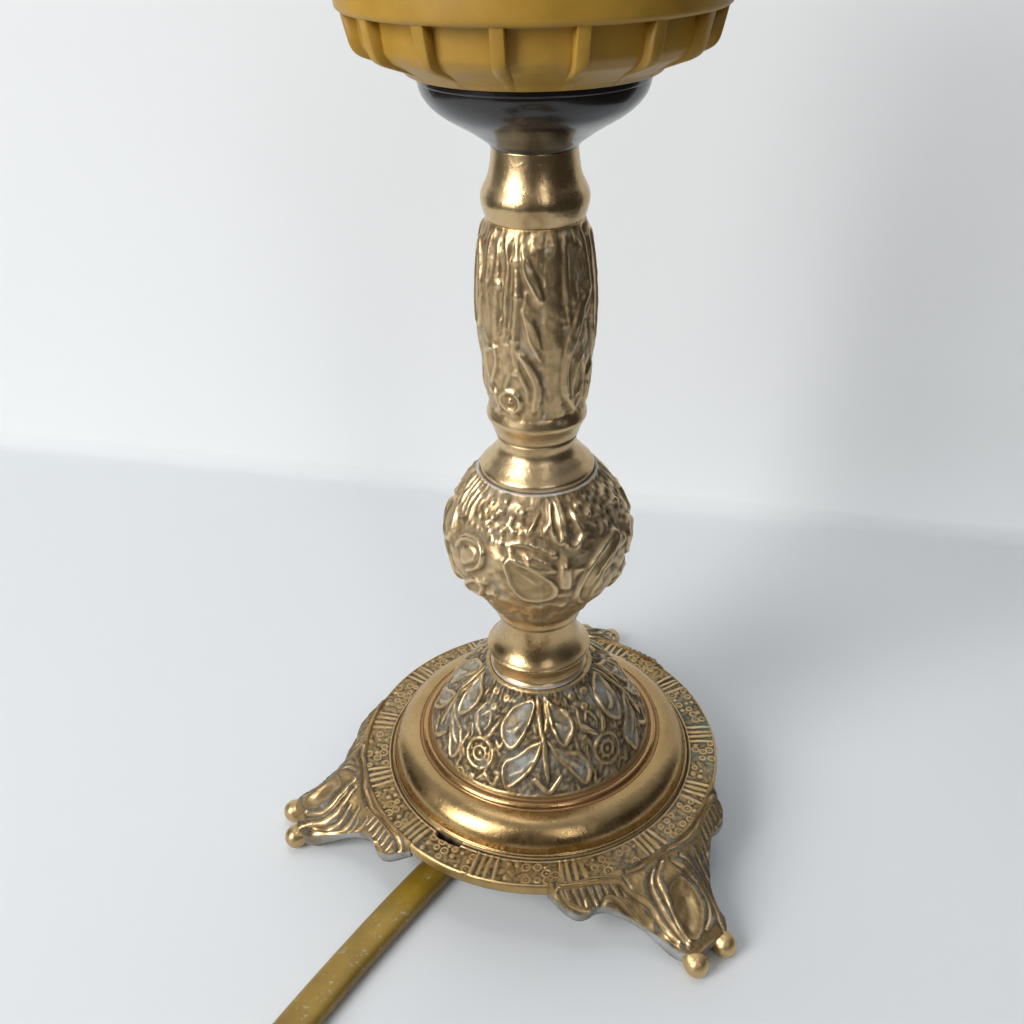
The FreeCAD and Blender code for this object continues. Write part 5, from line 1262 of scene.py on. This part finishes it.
STEM_RIDGES = [
    ([(18.1, 130.1), (15.4, 119.2), (17.1, 111.7), (21.9, 98.9)], 1.15, 0.55),
    ([(-41.1, 129.1), (-40.3, 124.0), (-42.1, 118.5), (-42.1, 112.8)], 0.70, 0.80),
    ([(-18.9, 128.9), (-19.1, 126.3), (-17.5, 120.7), (-21.1, 113.2), (-20.7, 107.2)], 0.62, 0.70),
    ([(-12.4, 118.6), (-3.5, 115.7), (2.7, 111.9)], 0.60, 0.90),
    ([(-20.2, 111.7), (-13.2, 110.2), (-4.1, 107.4), (1.6, 104.1), (-2.5, 100.2)], 0.68, 1.00),
    ([(-20.7, 109.4), (-15.4, 106.6), (-10.4, 104.2), (-9.2, 101.9)], 0.45, 0.70),
    ([(48.3, 118.8), (39.6, 114.7), (32.6, 111.2), (29.4, 107.2), (32.8, 102.8), (47.2, 98.8)],
     0.68, 0.95),
    ([(65.8, 120.8), (54.5, 119.2), (45.1, 116.3), (41.2, 112.3)], 0.62, 0.85),
    ([(56.0, 106.6), (53.5, 103.4), (45.9, 101.7)], 0.50, 0.80),
    ([(-32.5, 129.9), (-27.0, 126.1), (-28.6, 121.9), (-31.0, 114.0)], 0.48, 0.60),
    ([(-62.4, 102.1), (-50.3, 102.4), (-47.4, 99.4), (-57.4, 98.2)], 0.50, 0.80),
    ([(-11.6, 126.3), (-3.2, 123.6), (6.6, 120.1)], 0.55, 0.75),
    ([(32.0, 129.4), (30.0, 122.0), (33.0, 116.0)], 0.50, 0.60),
    ([(-54.0, 129.5), (-56.0, 122.0), (-52.0, 115.0)], 0.50, 0.60),
    ([(58.0, 129.6), (60.0, 124.0), (63.0, 118.0)], 0.50, 0.60),
    ([(-28.0, 106.6), (-33.0, 105.0), (-38.0, 101.4), (-33.0, 98.4)], 0.45, 0.70),
]
STEM_BUMPS = [(-19.1, 126.3), (-17.5, 120.7), (-21.1, 113.2), (-37.2, 122.3), (-20.7, 107.2),
              (-27.1, 98.9)]
# White crust: spots of it on the baluster, as (degrees, height).
STEM_LIME = [(33.2, 130.1), (11.8, 128.1), (-4.8, 125.0), (-1.7, 110.9), (3.0, 97.8), (8.0, 98.6),
             (26.0, 97.3), (34.0, 97.1)]


def carve_baluster(net):
    """Leaves, the ribs over them, a curled tip with an eye, and the bumps along the ribs."""
    for points in STEM_LEAVES:
        net.leaf(points, 0.72, 0.62, 0.34, soft=0.6)
    for line, width, tall in STEM_RIDGES:
        net.stem(line, width * 1.45, tall * 0.88, 0.55, 18)
    net.ringlet((-29.6, 101.6), 1.9, 0.60, 0.95, 0.42)
    for spot in STEM_BUMPS:
        net.berry(spot, 1.05, 0.78)


print("leaves and ridges on the baluster", len(STEM_LEAVES), len(STEM_RIDGES))

# %% The baluster
def baluster():
    """The baluster with its spool, which is turned as far up as the collar's foot."""
    outer, around = flowing(STEM, 190), 500
    level = outer[:, 1]
    cast = smooth((level - 97.4) / 1.6) * smooth((130.9 - level) / 0.6)
    half = Net(outer, around // 2, 180.0)
    carve_baluster(half)
    net = both_sides(half, outer, around)
    flat = np.clip(1 - net.height / 0.3, 0, 1)
    foliage = (0.50 * leafage(net, 2.6, 31, 90.0, 50.0, 2.1)
               + 0.22 * leafage(net, 1.25, 32, 90.0, 90.0, 1.6))
    net.height = (net.height * 0.92 + foliage * (0.40 + 0.60 * flat) - 0.48) * cast
    net.height = blurred(net.height, 1) + seam(net, cast)
    inner = [(7.2, STEM_TOP), (6.0, 130.9), (5.4, 129.0), (5.4, 90.0), (6.6, 86.0), (7.6, 84.72),
             (10.0, BALL_TOP)]
    lime = dip(level, 84.80, 0.26)
    for turn, height in STEM_LIME:
        away = np.hypot((net.turn - turn)[:, None] * net.scale, (level - height) * 1.4)
        lime = np.maximum(lime, 0.45 * dip(away, 0, 0.55))
    thing = carved("baluster", outer, inner, net, {
        "polish": 0.6 - 0.6 * smooth((level - 97.2) / 2.0), "lime": lime, "worn": cast,
        "soot": 0.8 * dip(level, 92.05, 0.25),
        "bloom": 0.35 * cast * smooth((-0.15 - net.height) / 0.25)})
    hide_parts("baluster_segment")
    return thing


baluster_piece = baluster()
print("baluster", len(baluster_piece.data.vertices), "points")

# %% [markdown]
# ## Ferrule and lampholder
# A turned brass ferrule carries the lampholder. Its cap is black moulded plastic with a high gloss. The
# ochre shade ring screws on the holder's sleeve; its tray is stiffened below by sixteen thin gussets.
# %% Ferrule, cap and sleeve
def ferrule():
    """The turned ferrule, with the bore for the pipe."""
    outer = flowing([(8.15, STEM_TOP), (8.25, 131.4), (8.45, 132.0), (8.71, 133.0), (8.86, 134.0),
                     (8.74, 135.0), (8.36, 136.0), (7.85, 137.0), (7.48, 138.0), (7.22, 139.2),
                     (7.05, 140.4), (6.95, 141.4), (6.92, FERRULE_TOP)], 60)
    inner = [(6.2, FERRULE_TOP), (5.2, 141.8), (5.1, 141.0), (5.1, 132.0), (5.3, STEM_TOP),
             (7.4, STEM_TOP)]
    thing = turned("ferrule", np.vstack([outer, inner]), 160, proud=0.2, polish=0.6)
    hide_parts("top_ferrule")
    return thing


def cap():
    """The cap of the lampholder, a cup that is hollow above its floor."""
    outer = flowing([(6.95, FERRULE_TOP), (7.5, 142.7), (8.6, 143.5), (10.4, 144.7), (12.3, 145.8),
                     (14.0, 146.8), (15.4, 147.8), (16.5, 148.9), (17.3, 150.1), (17.7, 151.4),
                     (17.75, 152.5), (17.75, 155.2)], 54)
    inner = [(17.5, 155.5), (16.2, 155.5), (15.9, 155.2), (15.9, 151.9), (12.6, 150.6),
             (12.4, 148.0), (5.3, 147.6), (5.1, 147.4), (5.1, 142.2), (5.3, FERRULE_TOP),
             (6.6, FERRULE_TOP)]
    thing = turned("cap", np.vstack([outer, inner]), 192)
    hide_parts("holder_cap")
    return thing


def sleeve(pitch=2.5, around=192):
    """The holder's sleeve: a thread outside, a smooth bore, and a rounded mouth. The thread is a
    groove of depth 0.15 (1 - cos(2 pi p)), with p = height / pitch - bearing / 360."""
    outer = [(17.85, z) for z in np.arange(152.0, 187.0, 0.25)]
    bead = [(17.85, 187.3), (17.6, 188.1), (16.8, 188.5), (15.4, 188.5), (14.6, 188.2),
            (14.3, 187.4)]
    inner = [(14.3, 170.0), (14.3, 151.9), (14.5, 151.8), (17.6, 151.8)]
    line = np.array(outer + bead + inner)
    bearings = np.arange(around) * 360 / around
    points = spun(line, bearings)
    phase = line[:, 1][None] / pitch - bearings[:, None] / 360
    fade = smooth(line[:, 1] - 156.0) * smooth(185.5 - line[:, 1]) * (np.arange(len(line)) < len(outer))
    cut = 0.15 * (1 - np.cos(phase * math.tau)) * fade
    points[..., :2] *= (1 - cut / line[:, 0])[..., None]
    thing = piece("sleeve", points, [quads(around, len(line))])
    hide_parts("holder_sleeve")
    return thing


ferrule_piece, cap_piece, sleeve_piece = ferrule(), cap(), sleeve()
print("ferrule, cap and sleeve", len(ferrule_piece.data.vertices), len(cap_piece.data.vertices),
      len(sleeve_piece.data.vertices), "points")

# %% Shade ring
TRAY = [(17.95, 153.0), (19.3, 153.0), (20.0, 153.8), (22.4, 155.1), (24.6, 156.2), (25.7, 157.5),
        (26.0, 159.5), (26.2, 162.0), (28.4, 162.0), (29.0, 162.6), (29.0, 166.8), (28.4, 167.5),
        (27.6, 167.5), (27.0, 167.0), (27.0, 163.1), (19.95, 163.1), (19.95, 166.6), (19.5, 167.0),
        (18.3, 167.0), (17.95, 166.6)]
# A gusset: its lower edge, as (distance from the stem, height), and its section across, as
# (half-widths from its middle, height above its lower edge).
GUSSET_EDGE = [(19.5, 153.2), (20.6, 154.1), (23.6, 155.2), (26.0, 156.1), (27.1, 157.2),
               (27.7, 159.4), (28.3, 162.2)]
GUSSET_SECTION = [(-1.0, 9.0), (-1.0, 0.3), (-0.8, 0.05), (0.0, 0.0), (0.8, 0.05), (1.0, 0.3),
                  (1.0, 9.0)]
GUSSETS, GUSSET_HALF_WIDTH, GUSSET_TOP = 16, 0.95, 162.4


def gusset(bearing, start):
    """A thin rib under the tray with soft edges, as a row of sections."""
    a = math.radians(bearing)
    out, side = np.array([math.cos(a), math.sin(a), 0]), np.array([-math.sin(a), math.cos(a), 0])
    edge, section = flowing(GUSSET_EDGE, 26), np.array(GUSSET_SECTION)
    grid = (out * edge[:, :1, None] + side * GUSSET_HALF_WIDTH * section[None, :, :1])
    grid[..., 2] = np.minimum(edge[:, 1:] + section[None, :, 1], GUSSET_TOP)
    n, m = grid.shape[:2]
    last = start + (n - 1) * m
    ends = [[start, start + 1, start + 2, start + 6], [last + 6, last + 2, last + 1, last]]
    return grid.reshape(-1, 3), np.vstack([quads(n, m, False, True, start), ends])


def shade_ring(around=240):
    """The tray, and the gussets evenly round it."""
    line = eased(TRAY, 0.45)
    points = [spun(line, np.arange(around) * 360 / around).reshape(-1, 3)]
    faces = [quads(around, len(line))]
    for k in range(GUSSETS):
        rib, rib_faces = gusset(13.0 + 360 / GUSSETS * k, sum(map(len, points)))
        points.append(rib)
        faces.append(rib_faces)
    thing = piece("shade_ring_piece", np.vstack(points), [np.vstack(faces)], "shade_ring")
    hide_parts("shade_ring")
    return thing


ring_piece = shade_ring()
print("shade ring", len(ring_piece.data.vertices), "points")

# %% [markdown]
# ## Finishes
# The cast brass has three colours in it: rubbed warm gold on the high lines, dull olive on the flats,
# and near-black dirt with a pale grey bloom in the beds. The hollow and proud numbers on each casting
# say which spot gets which, and slow noise keeps it from looking even. Some colour is painted light:
# the most polished turned parts take a darker copy as painted dark reflection, the dome's step a
# coppery painted reflection, and the waist under the ball's collar a painted black shadow.
# %% Brass
def brass_numbers(metal):
    """What the brass is mixed by: the numbers on the mesh, and noise of four sizes. `polish` marks
    turned parts and how much of the darker copy, a painted dark reflection, they take; `copper` a
    painted coppery reflection on the dome's step; `worn` the ball and baluster; `grime` brown dirt;
    `soot` black at joints and in low ground, and painted shadow under the ball's collar; `bloom` a
    pale film; `lime` a white crust at the joints; and `verdigris` green."""
    labels = ("hollow", "proud", "polish", "copper", "bloom", "rough_cast", "soot", "lime", "grime",
              "verdigris", "worn")
    return SimpleNamespace(**{label: metal.number(label) for label in labels},
                           broad=metal.noise(55, 5, 0.6), fine=metal.noise(420, 5, 0.65),
                           patch=metal.noise(170, 6, 0.7, 0.42, 0.60),
                           specks=metal.noise(900, 3, 0.6, 0.56, 0.66))


def bare_colour(metal, has):
    """The metal's colour: dull on the flats, gold where it is rubbed, satin where it is turned, and a
    darker copy of the satin, a painted dark reflection, on the most polished turned parts. On the step
    of the dome's moulding a coppery tint is a painted reflection of the carved cone."""
    times, plus, over = metal.times, metal.plus, metal.over
    colour = over(has.broad, (0.40, 0.265, 0.105), (0.60, 0.41, 0.175))
    colour = over(times(has.worn, 0.65), colour, (0.64, 0.475, 0.275))
    rubbed = times(has.proud, plus(times(has.worn, 0.20), 0.62))
    colour = over(rubbed, colour, (0.82, 0.64, 0.40))
    satin = over(has.broad, (0.58, 0.41, 0.21),
                 over(has.patch, (0.70, 0.52, 0.29), (0.82, 0.62, 0.36)))
    # Painted dark reflection: a darker copy of the satin, taken by the most polished turned parts.
    painted_dark_reflection = over(has.broad, (0.44, 0.29, 0.125),
                  over(has.patch, (0.54, 0.365, 0.165), (0.62, 0.425, 0.20)))
    deep = metal.less(metal.maths("MULTIPLY", has.polish, 2.5, False), 1.5)
    colour = over(times(has.polish, 1.6), colour, over(deep, satin, painted_dark_reflection))
    # Painted reflection: a coppery tint on the dome's step, standing in for the carved cone reflected
    # in it.
    copper = times(times(has.copper, plus(has.broad, 0.35)), 0.7)
    return over(copper, colour, (0.55, 0.30, 0.13))


def covers(metal, has):
    """How much of each cover lies on the brass: dirt, film, green, rough casting skin, crust."""
    times, plus, less = metal.times, metal.plus, metal.less
    dirt = times(has.hollow, plus(has.fine, 0.70))
    dirt = times(dirt, less(1.0, times(has.worn, 0.25)))
    grime = times(times(has.grime, less(0.9, has.proud)), plus(has.broad, 0.25))
    bloom = times(times(has.bloom, plus(has.patch, 0.22)), plus(has.broad, 0.45))
    return SimpleNamespace(
        dirt=plus(dirt, grime, True),
        film=times(plus(bloom, times(times(has.hollow, has.specks), 0.4)), 0.92),
        green=times(times(has.verdigris, has.patch), 0.8),
        skin=times(has.rough_cast, plus(times(has.patch, 0.5), 0.45)),
        lime=times(has.lime, plus(times(has.patch, 0.5), 0.55)))


def covered_colour(metal, has, on, colour):
    """The colour with each cover laid over it in turn."""
    over = metal.over
    brown = over(has.worn, (0.054, 0.038, 0.019), (0.125, 0.078, 0.034))
    for share, cover in ((metal.times(on.dirt, 0.90), brown),
                         (on.film, over(has.fine, (0.20, 0.215, 0.200), (0.46, 0.485, 0.470))),
                         (on.green, (0.075, 0.150, 0.125)),
                         (on.skin, over(has.broad, (0.22, 0.20, 0.165), (0.40, 0.43, 0.44))),
                         # Near-black: dark joints and low ground, and painted shadow in the waist under
                         # the ball's collar.
                         (metal.times(has.soot, 0.93), (0.010, 0.007, 0.004)),
                         (on.lime, (0.56, 0.62, 0.66))):
        colour = over(share, colour, cover)
    return colour


def brass():
    """Old cast brass: its colour, how much of it still shines as metal, and how rough it is."""
    metal = Finish("cast brass")
    times, plus, less = metal.times, metal.plus, metal.less
    has = brass_numbers(metal)
    on = covers(metal, has)
    colour = covered_colour(metal, has, on, bare_colour(metal, has))
    covered = plus(plus(times(on.film, 0.85), on.green), plus(times(has.soot, 0.9), on.lime), True)
    covered = plus(covered, plus(times(on.dirt, 0.45), times(on.skin, 0.7)), True)
    rough = plus(plus(0.33, times(has.broad, 0.08)), times(on.dirt, 0.25))
    rough = less(rough, times(has.polish, 0.13), False)
    rough = less(rough, times(times(has.worn, has.proud), 0.07), False)
    rough = plus(rough, times(times(has.polish, has.patch), 0.06))
    rough = plus(rough, times(covered, 0.30))
    rough = plus(rough, times(has.rough_cast, 0.2), True)
    metal.set(Base_Color=colour, Metallic=less(1.0, covered), Roughness=rough)
    grip = plus(has.fine, times(has.specks, 0.6))
    metal.bump(times(grip, less(1.0, times(has.polish, 0.7))), 0.30, 0.00014)
    return metal.made


cast_brass = brass()
print("brass has", len(cast_brass.node_tree.nodes), "nodes")

# %% The other finishes
def cord_finish():
    """Clear olive PVC, darker at its edges and scuffed here and there."""
    sheath = Finish("olive PVC")
    scuff = sheath.times(sheath.noise(700, 6, 0.7, 0.60, 0.68), 0.6)
    colour = sheath.over(sheath.noise(90, 4, 0.6), (0.30, 0.175, 0.012), (0.46, 0.285, 0.026))
    colour = sheath.over(sheath.times(sheath.number("rim"), 0.45), colour, (0.15, 0.095, 0.010))
    sheath.set(Base_Color=sheath.over(scuff, colour, (0.62, 0.60, 0.52)), Roughness=0.34,
               Coat_Weight=0.25, Coat_Roughness=0.18, Transmission_Weight=0.18)
    sheath.bump(sheath.noise(300, 4, 0.6), 0.12, 0.0002)
    return sheath.made


def plain(name, colour, rough, metal=0.0, scale=240, change=0.25, coat=0.0, grip=0.1):
    """One colour, which noise darkens by up to `change`. `grip` is the depth of its fine bumps."""
    whole = Finish(name)
    uneven = whole.noise(scale, 5, 0.6)
    dark = tuple(c * (1 - change) for c in colour)
    whole.set(Base_Color=whole.over(uneven, dark, colour), Metallic=metal,
              Roughness=whole.plus(rough, whole.times(uneven, 0.12)))
    if coat:
        whole.set(Coat_Weight=coat, Coat_Roughness=0.06)
    whole.bump(uneven, grip, 0.0001)
    return whole.made


GOLD_BROWN = (0.20, 0.13, 0.045)
FINISHES = {
    "cast_brass": cast_brass,
    "turned_brass": cast_brass,
    "zinc_steel": plain("zinc-plated steel", (0.52, 0.54, 0.55), 0.34, 1.0, 300, 0.3),
    "black_phenolic": plain("black phenolic", (0.014, 0.011, 0.010), 0.20, 0.0, 90, 0.3, 0.4, 0.012),
    "white_ceramic": plain("glazed ceramic", (0.80, 0.79, 0.74), 0.22, 0.0, 120, 0.06, 0.3, 0.03),
    "plated_shell": plain("nickel-plated brass", (0.62, 0.60, 0.56), 0.28, 1.0, 260, 0.2),
    "terminal_brass": plain("brass terminal", (0.62, 0.46, 0.22), 0.3, 1.0, 300, 0.2),
    "ochre_plastic": plain("ochre urea plastic", (0.50, 0.285, 0.036), 0.40, 0.0, 120, 0.22, 0.0,
                           0.05),
    "cord_sheath": cord_finish(),
    "core_insulation": plain("core insulation", (0.25, 0.12, 0.06), 0.4),
    "switch_plastic": plain("gold-brown switch plastic", GOLD_BROWN, 0.32, 0.0, 160, 0.15, 0.1, 0.05),
    "tie_wire": plain("paper-covered tie", (0.75, 0.75, 0.72), 0.55),
    "plug_plastic": plain("gold-brown plug plastic", GOLD_BROWN, 0.34, 0.0, 160, 0.15, 0.1, 0.05),
    "sleeve_plastic": plain("black pin sleeve", (0.03, 0.03, 0.03), 0.4),
}
print("finishes", len(FINISHES))

# %% Dressing the pieces
def dress(thing, slot):
    thing.data.materials.clear()
    thing.data.materials.append(FINISHES[slot])


def dress_frame():
    """The engineering model's own pieces take the finish that their record names."""
    slots = {s["node"]: s["material_slot"] for s in frame["record"]["subparts"]}
    for name, thing in frame["nodes"].items():
        kept = thing.data.materials
        for k in range(len(kept)):
            kept[k] = FINISHES[slots[name]]
        if not len(kept):
            kept.append(FINISHES[slots[name]])


for thing in [base_ring, dome_piece, ball_piece, baluster_piece] + feet:
    dress(thing, "cast_brass")
for thing, slot in ((ferrule_piece, "turned_brass"), (cap_piece, "black_phenolic"),
                    (sleeve_piece, "black_phenolic"), (ring_piece, "ochre_plastic"),
                    (lead, "cord_sheath"), (rest, "cord_sheath")):
    dress(thing, slot)
dress_frame()
print("dressed", len(bpy.data.meshes), "meshes")

# %% [markdown]
# ## What the leads are
# The first run ends in the switch; the second leaves the switch and ends in the plug.
# %% The two runs of the lead
tuple(c * MM for c in MIDDLE[0])
print("leads declared:", lead.name, "and", rest.name)

# %% [markdown]
# ## Size
# The engineering model's box and the dressed lamp's box are both printed. The lamp has
# to keep the size of the engineering model.
# %% Size and the end
as_list = lambda box: [[float(x) for x in corner] for corner in box]
{"cad": as_list(cad_box), "visual": as_list(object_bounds())}
print("cad", as_list(cad_box))
print("visual", as_list(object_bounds()))
